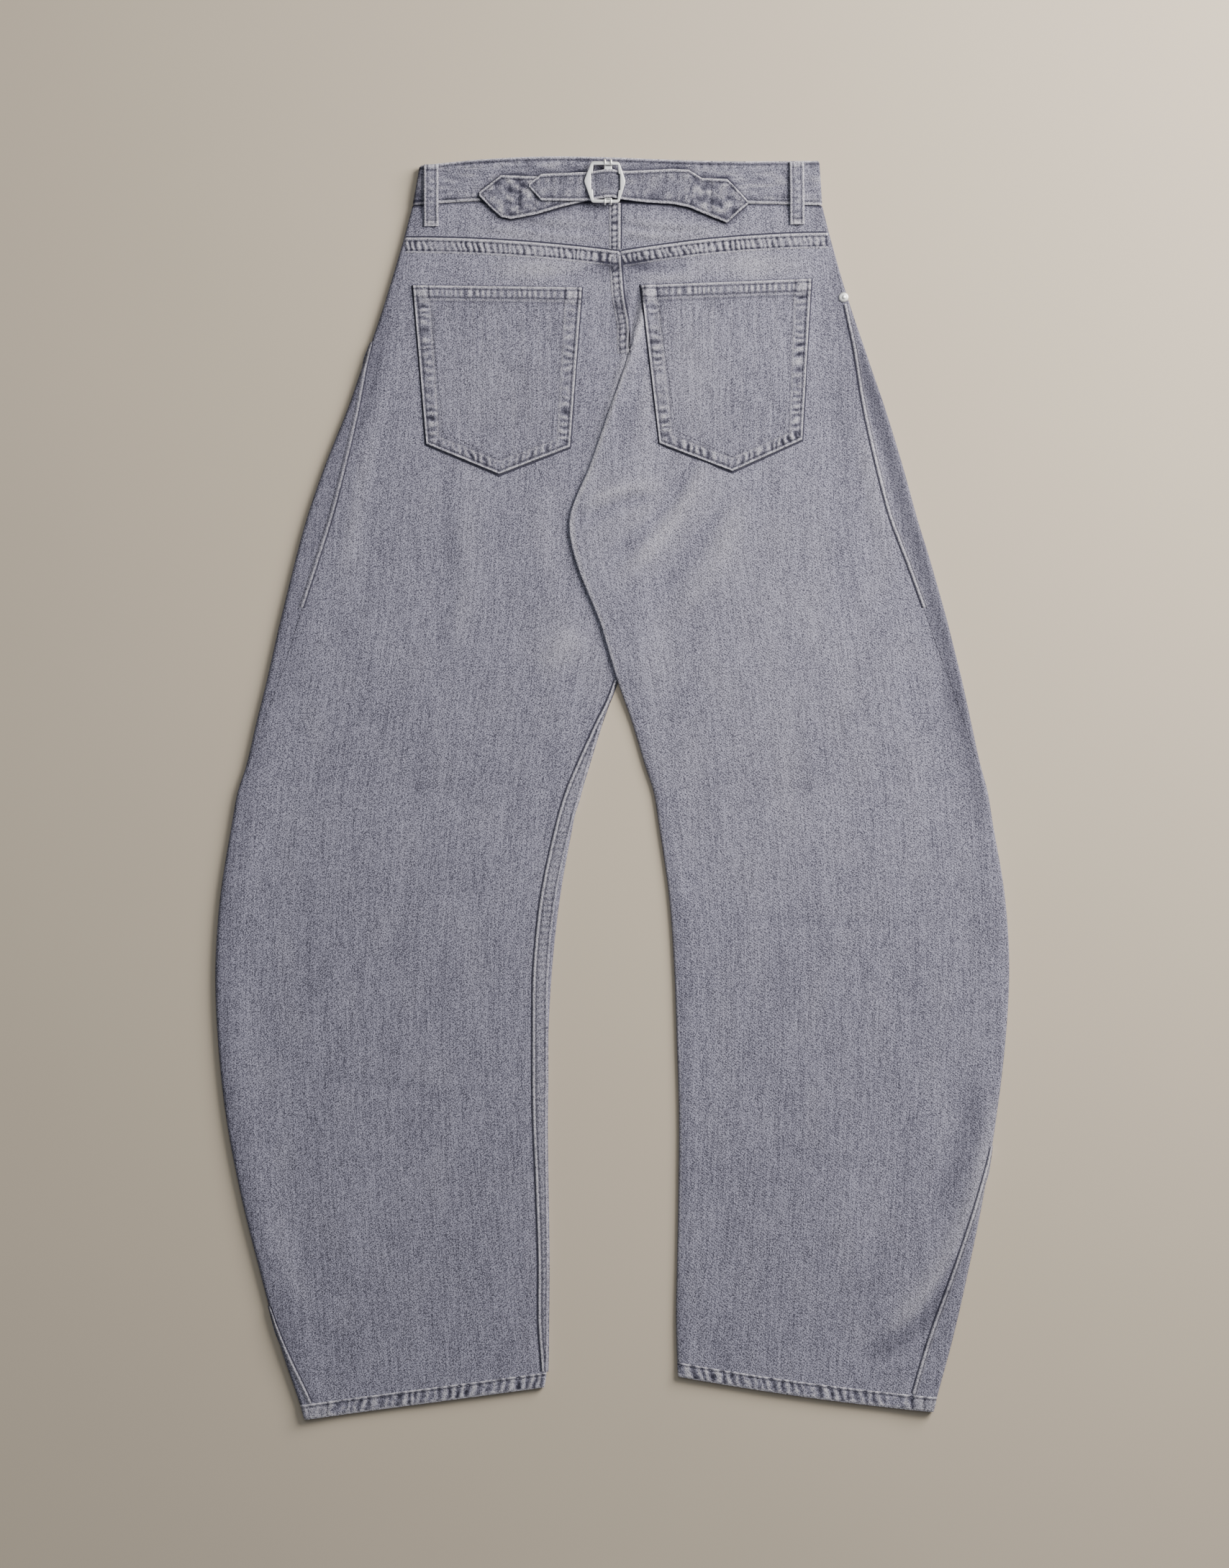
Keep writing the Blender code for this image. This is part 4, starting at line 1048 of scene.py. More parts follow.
class JEANS_OT_back_panels(bpy.types.Operator):
    """Make the two back leg panels, with the centre fold between them"""

    bl_idname = "jeans.back_panels"
    bl_label = "Back panels"

    def execute(self, context):
        step = settings().row_step / MM
        for side, name in SIDE_NAMES.items():
            rows = []
            for y in panel_levels(side, step):
                row = back_row(side, y)
                # Painted shade along the right leg's inner edge lower down, and a painted highlight along its
                # inner edge, brightest along the centre fold
                dark, rim = 0.0, 0.0
                if side == RIGHT:
                    dark = 0.3 * ease((80.0 - y) / 60.0)
                    rim = 0.8 * ease((376.0 - y) / 12.0) * (0.6 + 0.4 * ease((y - 60.0) / 80.0))
                rows.append(row.spots(back_points(row, BACK_STEPS), dark, rim))
            bm = mapped_grid(rows)
            thicken(bm, PLY)
            piece = add_piece(f"leg_back_{name}", bm, ["denim_legs"], [f"back_{name}"])
        return {"FINISHED"}


class JEANS_OT_front_panels(bpy.types.Operator):
    """Make the two front leg panels, which lie beneath and wrap up to the side seams"""

    bl_idname = "jeans.front_panels"
    bl_label = "Front panels"

    def execute(self, context):
        step = settings().row_step / MM * 2.0
        for side, name in SIDE_NAMES.items():
            made = [front_row(side, y) for y in panel_levels(side, step)]
            top, seam = LEGS[side][-1], WAIST_SEAM[side]
            made += [Row(blend_sections(top, seam, t), uneven=False) for t in spread(0.0, 1.0, 5)[1:]]
            bm = mapped_grid([row.spots(front_points(row, FRONT_STEPS)) for row in made])
            thicken(bm, PLY, up=-1)
            piece = add_piece(f"leg_front_{name}", bm, ["denim_legs"], [f"front_{name}"])
        return {"FINISHED"}


def waist_seam_y(x):
    """Y of the seam below the waistband."""
    seam = WAIST_SEAM[LEFT if x < WAIST_SEAM[LEFT].inner_x else RIGHT]
    t = min(max((x - seam.outer_x) / (seam.inner_x - seam.outer_x), 0.0), 1.0)
    return lerp(seam.outer_y, seam.inner_y, t) + seam.bow * 4.0 * t * (1.0 - t)


def band_edge_y(t):
    """Y of the waistband's upper edge at a share of the way from the left fold to the right one."""
    arch = BAND_EDGE.bow * 4.0 * t * (1.0 - t) + BAND_EDGE.skew * math.sin(2.0 * math.pi * t)
    return lerp(BAND_EDGE.left_y, BAND_EDGE.right_y, t) + arch


class JEANS_OT_yokes(bpy.types.Operator):
    """Make the back yoke on each side of the centre seam"""

    bl_idname = "jeans.yokes"
    bl_label = "Yokes"

    def execute(self, context):
        for side, name in SIDE_NAMES.items():
            lower, upper = LEGS[side][-1], WAIST_SEAM[side]
            lower = lower._replace(outer_y=lower.outer_y + SEAM_GAP, inner_y=lower.inner_y + SEAM_GAP)
            rows = []
            for t in spread(0.0, 1.0, 26):
                row = Row(blend_sections(lower, upper, t))
                spots = row.spots(back_points(row, BACK_STEPS))
                # Painted shadow along the yoke's upper edge under the waistband's lapped edge, and painted
                # shadow round the straps
                seam = 0.9 * ease((t - 0.93) / 0.05)
                rows.append([
                    spot._replace(deep=spot.deep + seam + strap_shadow(spot.point)) for spot in spots
                ])
            bm = mapped_grid(rows)
            thicken(bm, PLY)
            piece = add_piece(f"back_yoke_{name}", bm, ["denim_yoke"], [f"yoke_{name}"])
        return {"FINISHED"}


def strap_shadow(point):
    """Painted shadow on the cloth close round the cinch straps, darkest right beside them."""
    shade = 0.0
    for places in (LEFT_STRAP, RIGHT_STRAP):
        for a, b in zip(places, places[1:]):
            if a.x <= point.x <= b.x:
                t = (point.x - a.x) / (b.x - a.x)
                below = lerp(a.lower_y, b.lower_y, t) - point.y
                above = point.y - lerp(a.upper_y, b.upper_y, t)
                off = max(below, above)
                shade = max(shade, 0.45 * ease(1.0 - off / 9.0) + 0.5 * ease(1.0 - (off - 0.8) / 2.0))
    return shade


def band_margins(x, y):
    """Distance of a place on the waistband from its seam and from its upper edge."""
    t = min(max((x - BAND_EDGE.left_x) / (BAND_EDGE.right_x - BAND_EDGE.left_x), 0.0), 1.0)
    return y - waist_seam_y(x), band_edge_y(t) - y


# Stitch lines of the band, from its upper edge and from its seam, and its puckers
EDGE_STITCH = 2.9
SEAM_STITCH = 3.4
BAND_PITCH = 6.5
BAND_SEED = 61.0


def band_shades(point):
    """Pale rubbed edges of the waistband, painted shade in its stitch grooves, painted highlights and painted
    shade on its puckers, slanting mottling, painted shadow round the straps, and darker towards its left end.
    """
    x, y, _ = point
    from_seam, from_edge = band_margins(x, y)
    pucker = ladder(x, BAND_PITCH, BAND_SEED)
    fine = grain(x, y, 2.2, 2.0)
    edge = 1.0 - ease((from_edge - 0.5) / 1.2)
    seam = bell(from_seam - 1.2, 1.0)
    worn = 1.3 * edge * rubbed(fine) + 1.9 * seam * (0.85 + 0.7 * fine)
    near_sewing = bell(from_edge - 5.0, 3.5) + bell(from_seam - 6.0, 3.5)
    slant = grain(x * 0.32 + y * 0.5, y * 1.1 - x * 0.12, 5.0, 8.0)
    worn += 0.14 * max(0.0, pucker) * near_sewing + 0.6 * max(0.0, slant)
    # Painted shade in the stitch grooves and under the puckers, darker slanting mottling, painted shadow
    # round the straps, and darker towards the band's left end
    deep = 0.75 * bell(from_edge - EDGE_STITCH, 0.8) + 0.7 * bell(from_seam - SEAM_STITCH, 0.8)
    deep += 0.25 * max(0.0, -pucker) * near_sewing + 0.7 * max(0.0, -slant) + 0.9 * strap_shadow(point)
    deep += 0.6 * (1.0 - ease((x - BAND_EDGE.left_x + 5.0) / 14.0))
    return worn, deep


# Shares of the band's width at which its loops lie closer, from its seam and from its upper edge
BAND_EDGE_SHARES = [0.0, 0.01, 0.022, 0.04, 0.06, 0.08, 0.1, 0.13]


class JEANS_OT_waistband(bpy.types.Operator):
    """Make the waistband all round"""

    bl_idname = "jeans.waistband"
    bl_label = "Waistband"

    def execute(self, context):
        lower = BAND_EDGE_SHARES + spread(0.16, 0.84, 17)
        shares = lower + [1.0 - share for share in reversed(BAND_EDGE_SHARES)]
        outer = [(share, 0.0) for share in shares]
        inner = [(share, BAND_WALL) for share in (1.0, 0.5, 0.0)]
        rows = [self.loop_at(share, depth) for share, depth in outer + inner]
        rows.append(list(rows[0]))
        bm = mapped_grid(rows, merge=True)
        piece = add_piece("waist_band", bm, ["denim_band"], ["waistband"])
        return {"FINISHED"}

    def loop_at(self, share, depth):
        """Once round the band at a share of its width, at a depth inside its outer face."""
        radius = (BAND_TOP - BAND_LOW) / 2
        left = lerp(WAIST_SEAM[LEFT].outer_x, BAND_EDGE.left_x, share)
        right = lerp(WAIST_SEAM[RIGHT].outer_x, BAND_EDGE.right_x, share)
        edge = min(share, 1.0 - share)
        roll = 0.9 * (1.0 - ease(edge / 0.035))
        places = [(x, BAND_TOP, 0.0, 1.0) for x in spread(left + radius, right - radius, 300)]
        for angle in spread(math.pi / 2, -math.pi / 2, 8)[1:-1]:
            across, up = math.cos(angle), math.sin(angle)
            places.append((right - radius * (1.0 - across), BAND_LOW + radius * (1.0 + up), across, up))
        places += [(x, BAND_LOW, 0.0, -1.0) for x in spread(right - radius, left + radius, 60)]
        for angle in spread(-math.pi / 2, -1.5 * math.pi, 8)[1:]:
            across, up = math.cos(angle), math.sin(angle)
            places.append((left + radius * (1.0 + across), BAND_LOW + radius * (1.0 + up), across, up))
        spots, around = [], 0.0
        for x, z, across, up in places:
            t = min(max((x - left) / (right - left), 0.0), 1.0)
            y = lerp(waist_seam_y(x) + BAND_SEAM_GAP, band_edge_y(t), share)
            from_seam, from_edge = band_margins(x, y)
            rise = 0.0
            if not depth and up > 0.5:
                grooves = bell(from_edge - EDGE_STITCH, 0.8) + bell(from_seam - SEAM_STITCH, 0.8)
                rise = 0.3 * grain(x, y, 26.0, 5.0) + 0.3 * grain(x * 1.4, y, 8.0, 9.0) - 0.3 * grooves
                near_sewing = bell(from_edge - 4.5, 3.5) + bell(from_seam - 5.5, 3.5)
                rise += 0.25 * ladder(x, BAND_PITCH, BAND_SEED) * near_sewing
                rise += max(-0.6, relief(x, y) * 0.4)
            point = Vector((x, y, z)) + Vector((across, 0.0, up)) * (rise - (depth or roll))
            if spots:
                around += (point.xz - spots[-1].point.xz).length
            worn, deep = band_shades(point) if up > -0.5 else (0.0, 0.0)
            spots.append(Spot(point, (around, y), worn, deep))
        spots[-1] = spots[-1]._replace(point=spots[0].point.copy())
        return spots


def pocket_point(pocket, u, v):
    """Place on a pocket at u from side to side and v from its mouth down."""
    corners = [Vector(corner) for corner in pocket]
    upper_left, upper_right, lower_right, point, lower_left = corners
    mouth = upper_left.lerp(upper_right, u)
    if u < 0.5:
        foot = lower_left.lerp(point, u * 2.0)
    else:
        foot = point.lerp(lower_right, u * 2.0 - 1.0)
    return mouth.lerp(foot, v)


def eased_ends(steps, tight):
    """Shares from 0 to 1 that lie closer together at both ends."""
    return [lerp(t, 0.5 - 0.5 * math.cos(math.pi * t), tight) for t in spread(0.0, 1.0, steps)]


# POCKET_BORDER is the width of the film of painted shadow round a pocket
POCKET_BORDER = 1.5
POCKET_RISE = 1.5
POCKET_EDGE_STITCH = 3.2
POCKET_HEM = 10.6
POCKET_HEM_STITCH = 9.8
POCKET_LADDER = 7.5
POCKET_INNER_EDGE = 14.5
TACK_WIDTH = 13.0


def bordered(shares, over):
    """Shares from 0 to 1 with a border of their own beyond both ends."""
    return [-over, -0.6 * over, -0.01 * over, *shares, 1.0 + 0.01 * over, 1.0 + 0.6 * over, 1.0 + over]


def pocket_spot(pocket, u, v, ground, seed):
    """One place on a pocket, with the relief of its hem, its edges and its sewing, their wear, painted
    highlights and painted shade, and the painted shadow round it.
    """
    x, y = pocket_point(pocket, u, v)
    width = (Vector(pocket.upper_right) - Vector(pocket.upper_left)).length
    from_side = min(u, 1.0 - u) * width
    from_mouth = pocket_point(pocket, u, 0.0).y - y
    from_foot = y - pocket_point(pocket, u, 1.0).y
    edge = min(from_side, from_mouth, from_foot)
    under = ground.height(x, y, 4.0)
    # Beyond the edge a thin film of painted shadow lies on the panel, fainter above the mouth
    if edge < 0.0:
        sunk = 0.3 if edge < 0.1 - POCKET_BORDER else 0.0
        shade = 0.4 if from_mouth < 0.0 else 0.9
        return Spot(Vector((x, y, under + STRIP_FILM - sunk)), (x, y), 0.0, shade)
    around = y if from_side < from_foot else x
    fine = grain(x, y, 2.0, seed)
    rib = ladder(x, 5.0, seed) * bell(from_mouth - 6.2, 3.0)
    pitch = 7.2 if from_side < from_foot else 5.8
    rung_seed = seed + 3.0 + math.copysign(1.0, u - 0.5)
    smudge = 1.3 * ladder(around + 3.0 * grain(x, y, 9.0, seed), pitch, rung_seed)
    blot = (smudge + 0.7 * grain(x, y, 5.0, seed + 5.0)) * ease((from_mouth - 10.0) / 4.0)
    blot *= 1.3 * bell(min(from_side, from_foot * 1.2) - POCKET_LADDER, 4.5)
    rim = bell(edge - 0.8 - 0.3 * grain(around, 0.0, 8.0, seed), 0.9)
    sewn = bell(min(from_side, from_foot) - POCKET_EDGE_STITCH, 0.8)
    sewn += bell(from_mouth - POCKET_EDGE_STITCH, 0.7) + bell(from_mouth - POCKET_HEM_STITCH, 0.8)
    inner = 0.0
    if from_mouth > 11.0:
        inner = bell(min(from_side, from_foot * 1.25) - POCKET_INNER_EDGE, 1.2)
    tack = ease((TACK_WIDTH - from_side) / 2.0) * ease((11.5 - from_mouth) / 2.0)
    tack *= ease((edge - 2.5) / 1.5)
    box = bell(from_side - TACK_WIDTH - 0.4, 0.8) * ease((11.5 - from_mouth) / 1.5)
    streak = grain(x, y * 0.03, 2.6, seed + 9.0)
    rise = POCKET_RISE + 0.45 * ease(1.0 - (from_mouth - POCKET_HEM)) - 1.3 * (1.0 - ease(edge / 0.8))
    rise += 0.2 * rim - 0.34 * sewn - 0.15 * inner + 0.36 * rib + 0.3 * blot + 0.25 * tack
    rise += 0.25 * grain(x, y, 14.0, 5.0) + 0.1 * fine
    # Pale rims are wear; puckers and blots are paler on top and darker below, partly wear and partly painted
    # highlight and painted shade; dark lines in the stitch grooves, along the edge and below the hem are
    # painted shade
    worn = 1.6 * rim * rubbed(fine) + 1.6 * max(0.0, rib) * (1.0 - tack) + 0.6 * max(0.0, blot)
    beside = bell(min(from_side, from_foot * 1.25) - 13.0, 0.8) * ease(from_mouth - 11.0)
    worn += 0.75 * tack * rubbed(fine) + 0.3 * bell(from_mouth - 11.8, 0.8) + 0.12 * max(0.0, streak)
    worn += 0.45 * beside * rubbed(fine)
    worn += max(0.0, fade_and_painted_light_at(x, y))
    deep = 0.95 * sewn * (0.8 + 0.3 * fine) * (1.0 - 0.5 * tack) + 0.3 * inner + 0.7 * max(0.0, -blot)
    deep += 0.8 * max(0.0, -rib) * (1.0 - tack) + 0.8 * box + 0.6 * (1.0 - ease(edge / 0.4))
    deep += 0.14 * max(0.0, -streak) + 0.5 * bell(from_mouth - 13.4, 1.0)
    return Spot(Vector((x, y, under + rise)), (x, y), worn, deep)


class JEANS_OT_pockets(bpy.types.Operator):
    """Make the two back patch pockets on the panels"""

    bl_idname = "jeans.pockets"
    bl_label = "Pockets"

    def execute(self, context):
        for side, name in SIDE_NAMES.items():
            ground = Ground(piece_named(f"leg_back_{name}"))
            pocket = POCKETS[side]
            over_u = POCKET_BORDER / (Vector(pocket.upper_right) - Vector(pocket.upper_left)).length
            over_v = POCKET_BORDER / (pocket.upper_left[1] - pocket.lower_left[1])
            columns = bordered(eased_ends(130, 0.4), over_u)
            rows = [
                [pocket_spot(pocket, u, v, ground, 21.0 + side) for u in columns]
                for v in bordered(eased_ends(150, 0.35), over_v)
            ]
            bm = mapped_grid(rows)
            thicken(bm, PLY)
            piece = add_piece(f"patch_pocket_{name}", bm, ["denim_pockets"], [f"pocket_{name}"])
        return {"FINISHED"}


# STRIP_BORDER is the width of the film of painted shadow beside a strip's first edge
STRIP_BORDER = 2.2
STRIP_STEP = 0.62
STRIP_WALL = 0.4
STRIP_SUNK = 0.25
TOP_STITCH = 2.7
FAR_STITCH = 2.0


def strip_mesh(seam, ground, seed):
    """A felled seam: a sewn strip to the left of its path, with a film of shadow beside its first edge."""
    rows = []
    places = along_path(seam.path, 1.0)
    total = places[-1][2]
    across_steps = max(8, round((seam.width + STRIP_BORDER + 1.0) / STRIP_STEP))
    for place, direction, distance in places:
        side = Vector((-direction.y, direction.x))
        fade = ease(distance / 1.6) * ease((total - distance) / 1.6)
        width = seam_width(seam, place.y)
        row = []
        for across in spread(-STRIP_BORDER, width + 1.0, across_steps):
            x, y = place + side * across
            rise, worn, deep = felled(seam, width, across, distance, seed)
            sunk = min(across + STRIP_BORDER, width + 1.0 - across) < 0.3
            height = -STRIP_SUNK if sunk else max(rise, STRIP_FILM) * fade - STRIP_SUNK * (1.0 - fade)
            own_pale_and_painted_highlight, own_dark_and_painted_shade = cloth_shades(x, y)
            point = Vector((x, y, ground.bridged(x, y) + height))
            row.append(Spot(point, (x, y), worn + own_pale_and_painted_highlight, deep + own_dark_and_painted_shade))
        rows.append(row)
    bm = mapped_grid(rows)
    thicken(bm, STRIP_WALL)
    for vert in bm.verts:
        vert.co.z = max(vert.co.z, 0.0)
    return bm


def outer_y_at(side, y):
    """The height of a section's outer edge whose inner edge is at y."""
    for a, b in zip(LEGS[side], LEGS[side][1:]):
        if y <= b.inner_y:
            return lerp(a.outer_y, b.outer_y, (y - a.inner_y) / (b.inner_y - a.inner_y))
    return y


def seam_width(seam, y):
    """The width of a strip at y, less where a leg's edge comes near."""
    if seam.name == "inseam_left":
        return min(seam.width, max(2.0, section_at(LEFT, outer_y_at(LEFT, y)).inseam - 0.8))
    if seam.name.startswith("side"):
        side = LEFT if "left" in seam.name else RIGHT
        return min(seam.width, max(0.5, section_at(side, y).side_seam - 1.2))
    return seam.width


def felled(seam, width, across, distance, seed):
    """Rise across a felled seam, how pale it is from wear and painted highlights on its ridge and puckers,
    and how dark from painted shade in its stitch grooves and puckers and the painted shadow line outside its
    first edge.
    """
    fine = grain(distance, across, 1.8, seed + 9.0)
    marked = distance + across * 0.2 + 1.6 * grain(distance, across, 6.0, seed + 2.0)
    uneven = 0.5 * grain(distance, across, 3.0, seed + 3.0)
    pucker = seam.pucker * (0.75 * ladder(marked, 4.8, seed) + uneven)
    wobble = 0.3 * grain(distance, 0.0, 7.0, seed)
    ridge = bell(across - 0.7 - wobble, 0.8)
    far = bell(across - (width - 0.3), 0.7)
    stitches = bell(across - TOP_STITCH, 0.7)
    if width > 5.0:
        stitches += bell(across - (width - FAR_STITCH), 0.7)
    body = ease((across + 0.5) / 0.7) * ease((width + 0.3 - across) / 0.8)
    inside = ease((across - 1.6) / 1.4) * ease((width - 0.8 - across) / 1.4)
    rise = body * 0.55 + 0.35 * ridge - 0.28 * stitches + 0.36 * pucker * inside
    worn = 1.4 * ridge * rubbed(fine) + 0.6 * far * (0.6 + fine) + 0.8 * max(0.0, pucker) * inside
    worn += 0.16 * body
    # Painted shade in the stitch grooves and under the puckers, and a painted shadow line outside the first
    # edge
    deep = 0.8 * stitches * (0.8 + 0.4 * fine) + 1.2 * bell(across + 0.95, 0.7)
    deep += max(0.0, -pucker) * inside
    return rise, seam.strength * worn, seam.strength * deep


def seam_points(side, kind, low, high, step=18.0):
    """The line of a side seam or an inseam over the upper cloth, from low to high."""
    points = []
    for y in spread(low, high, max(2, round((high - low) / step))):
        row = back_row(side, y)
        if kind == "side":
            place = row.round_outer(row.section.side_seam)[0]
        else:
            place = row.round_inner(row.section.inseam)[0]
        points.append((place.x, place.y))
    return points


def yoke_line(side):
    """The seam between yoke and back panel, from the outer edge to the centre."""
    row = Row(LEGS[side][-1])
    return [tuple(row.place(s, 0.0, 0.0)[0].xy) for s in spread(0.6, row.length, 8)]


def centre_line(low, high):
    """The centre back seam between two heights."""
    table = [(section.inner_x, section.inner_y) for section in LEFT_LEG if section.inner_y > 340.0]
    table.append((WAIST_SEAM[LEFT].inner_x + 0.15, WAIST_SEAM[LEFT].inner_y))
    points = []
    for y in spread(low, high, max(2, round((high - low) / 12.0))):
        for (xa, ya), (xb, yb) in zip(table, table[1:]):
            if ya <= y <= yb:
                points.append((lerp(xa, xb, (y - ya) / (yb - ya)) + 0.15, y))
                break
    return points


Seam = namedtuple("Seam", "name path width strength pucker")


def felled_seams():
    """Every felled seam that shows on the back: its strip lies to the left of its direction."""
    left_side = seam_points(LEFT, "side", 150.0, 372.0)
    right_side = seam_points(RIGHT, "side", 150.0, 404.0)
    above_hem = {side: LEGS[side][0].outer_y + HEM_DEPTH for side in LEGS}
    inseam = seam_points(LEFT, "inner", above_hem[LEFT], 92.0)
    lower_left = seam_points(LEFT, "side", above_hem[LEFT], -430.0)
    lower_right = seam_points(RIGHT, "side", above_hem[RIGHT], -297.0)
    return [
        Seam("yoke_seam_left", yoke_line(LEFT)[::-1], 12.4, 1.2, 1.2),
        Seam("yoke_seam_right", yoke_line(RIGHT), 12.4, 1.2, 1.2),
        Seam("centre_seam_yoke", centre_line(448.5, 488.0), 9.0, 1.15, 1.2),
        Seam("centre_seam_back", centre_line(362.0, 446.0), 9.5, 1.05, 0.85),
        Seam("side_seam_left", left_side, 3.2, 0.7, 0.3),
        Seam("side_seam_right", right_side[::-1], 3.2, 1.0, 0.3),
        Seam("inseam_left", inseam[::-1], 12.0, 0.95, 0.35),
        Seam("side_seam_lower_left", lower_left, 3.4, 0.9, 0.3),
        Seam("side_seam_lower_right", lower_right[::-1], 3.4, 0.95, 0.3),
    ]


def upper_ground(*extra):
    """The ground of the leg panels, the yokes and the pieces named."""
    names = ["leg_back_left", "leg_back_right", "leg_front_left", "leg_front_right"]
    names += ["back_yoke_left", "back_yoke_right", *extra]
    return Ground(*[piece_named(name) for name in names])


class JEANS_OT_seams(bpy.types.Operator):
    """Make the felled seams that show on the back"""

    bl_idname = "jeans.seams"
    bl_label = "Felled seams"

    def execute(self, context):
        ground = upper_ground()
        for seed, seam in enumerate(felled_seams()):
            add_piece(seam.name, strip_mesh(seam, ground, seed * 5.0), ["denim_seam"])
        return {"FINISHED"}


class JEANS_OT_hems(bpy.types.Operator):
    """Make the narrow roped hem round each leg"""

    bl_idname = "jeans.hems"
    bl_label = "Hems"

    def execute(self, context):
        for side, name in SIDE_NAMES.items():
            levels = spread(0.0, HEM_DEPTH, 16)
            loops = [hem_loop(side, LEGS[side][0].outer_y + rise) for rise in levels]
            wall = PLY + HEM_RAISE
            profile = [(k, 0.0) for k in range(len(levels) - 1, -1, -1)] + [(0, wall * 0.5)]
            profile += [(k, wall) for k in (0, 5, 10, len(levels) - 1)]
            rows = [
                [hem_spot(spot, levels[k], depth, 3.0 + side) for spot in loops[k]] for k, depth in profile
            ]
            add_piece(f"hem_{name}", mapped_grid(rows, merge=True), ["denim_seam"])
        return {"FINISHED"}


# Across x: where the doubled cloth of the side seams begins and ends in each hem
HEM_CORNERS = {LEFT: (-237.0,), RIGHT: (249.5, 259.5)}
HEM_GROOVE = 2.4
HEM_ROPE_PITCH = 7.6


def hem_spot(place, rise, depth, seed):
    """One place on a hem: twisted puckers, paler on their ridges from wear and painted highlight and with
    painted shade between them, a pale worn lower edge, and a stitched groove and side seam marks with painted
    shade.
    """
    point, outward, around = place
    up = max(0.0, outward.z)
    folds_at = HEM_CORNERS[LEFT] if point.x < 0.0 else HEM_CORNERS[RIGHT]
    corner = ease((abs(point.x) - abs(folds_at[0])) / 1.5)
    seam_marks = sum(bell(point.x - x, 0.9) for x in folds_at)
    slant = around - rise * 0.5 + 2.0 * grain(around, rise, 9.0, seed)
    rope = ladder(slant, HEM_ROPE_PITCH, seed) + 0.8 * grain(around, rise * 1.2, 4.0, seed)
    rope *= 1.0 - 0.6 * corner
    end = ease(rise / 1.6) * ease((HEM_DEPTH - rise) / 0.9)
    groove = bell(rise - (HEM_DEPTH - HEM_GROOVE), 0.8)
    fine = grain(around, rise, 2.0, seed + 4.0)
    height = HEM_RAISE * end + 0.3 * rope * end - 0.3 * groove - 0.2 * (1.0 - end)
    height += 0.25 * corner * end - 0.35 * seam_marks * end
    moved = point + outward * (height * up if depth == 0.0 else -depth)
    worn = 1.3 * max(0.0, rope - 0.15) * end + 1.2 * bell(rise - 0.6, 1.3) * rubbed(fine)
    worn += 1.1 * bell(rise - HEM_DEPTH + 0.6, 0.9) * rubbed(fine)
    worn += 0.4 * corner * end
    # Painted shade between the rope's twists, in the stitched groove and round the side seams' marks
    deep = 0.85 * max(0.0, -rope) * end + 0.6 * groove + 0.9 * seam_marks * end
    return Spot(moved, (around, moved.y), worn, deep)


def hem_loop(side, y):
    """Once round a leg at y: points, their outward direction, and the distance round."""
    row = back_row(side, y)
    places = []
    top_steps, arc_steps = 150, 12
    outer, inner = row.outer_radius, row.inner_radius
    for s in spread(outer, row.length - inner, top_steps):
        places.append((row.on_top(s)[0], Vector((0.0, 0.0, 1.0))))
    for angle in spread(math.pi / 2, -math.pi / 2, arc_steps)[1:]:
        point = row.round_inner(angle * inner)[0]
        places.append((point, row.along * math.cos(angle) + Vector((0.0, 0.0, math.sin(angle)))))
    for s in spread(row.length - inner, outer, top_steps // 2)[1:]:
        places.append((row.beneath(s)[0], Vector((0.0, 0.0, -1.0))))
    for angle in spread(-math.pi / 2, math.pi / 2, arc_steps)[1:]:
        point = row.round_outer(angle * outer)[0]
        places.append((point, -row.along * math.cos(angle) + Vector((0.0, 0.0, math.sin(angle)))))
    found, around = [], 0.0
    for i, (point, outward) in enumerate(places):
        if i:
            around += (point - places[i - 1][0]).length
        found.append((point, outward, around))
    return found


def ribbon_mesh(stations, wall, steps_across, rise_at, seed):
    """A strap of double cloth. Each station: middle, half width vector, height of its underside."""
    rows = []
    for middle, half, low, along in stations:
        row = []
        for t in spread(-1.0, 1.0, steps_across):
            edge = (1.0 - abs(t)) * half.length
            rise, worn, deep = rise_at(edge, t * half.length, along, seed)
            z = low + wall + rise - 0.55 * (1.0 - ease(edge / 0.8))
            row.append(Spot(Vector((*(middle + half * t), z)), (along, t * half.length), worn, deep))
        for t in spread(1.0, -1.0, 4):
            # The underside is given a little painted shade
            row.append(Spot(Vector((*(middle + half * t), low)), (along, t * half.length), 0.0, 0.1))
        row.append(row[0])
        rows.append(row)
    return mapped_grid(rows, merge=True, capped=True)


def plain_rise(*_):
    """No rise, paleness or painted shade, for the hidden loops."""
    return 0.0, 0.0, 0.0


LEFT_STRAP_SEED = 41.0
RIGHT_STRAP_SEED = 47.0


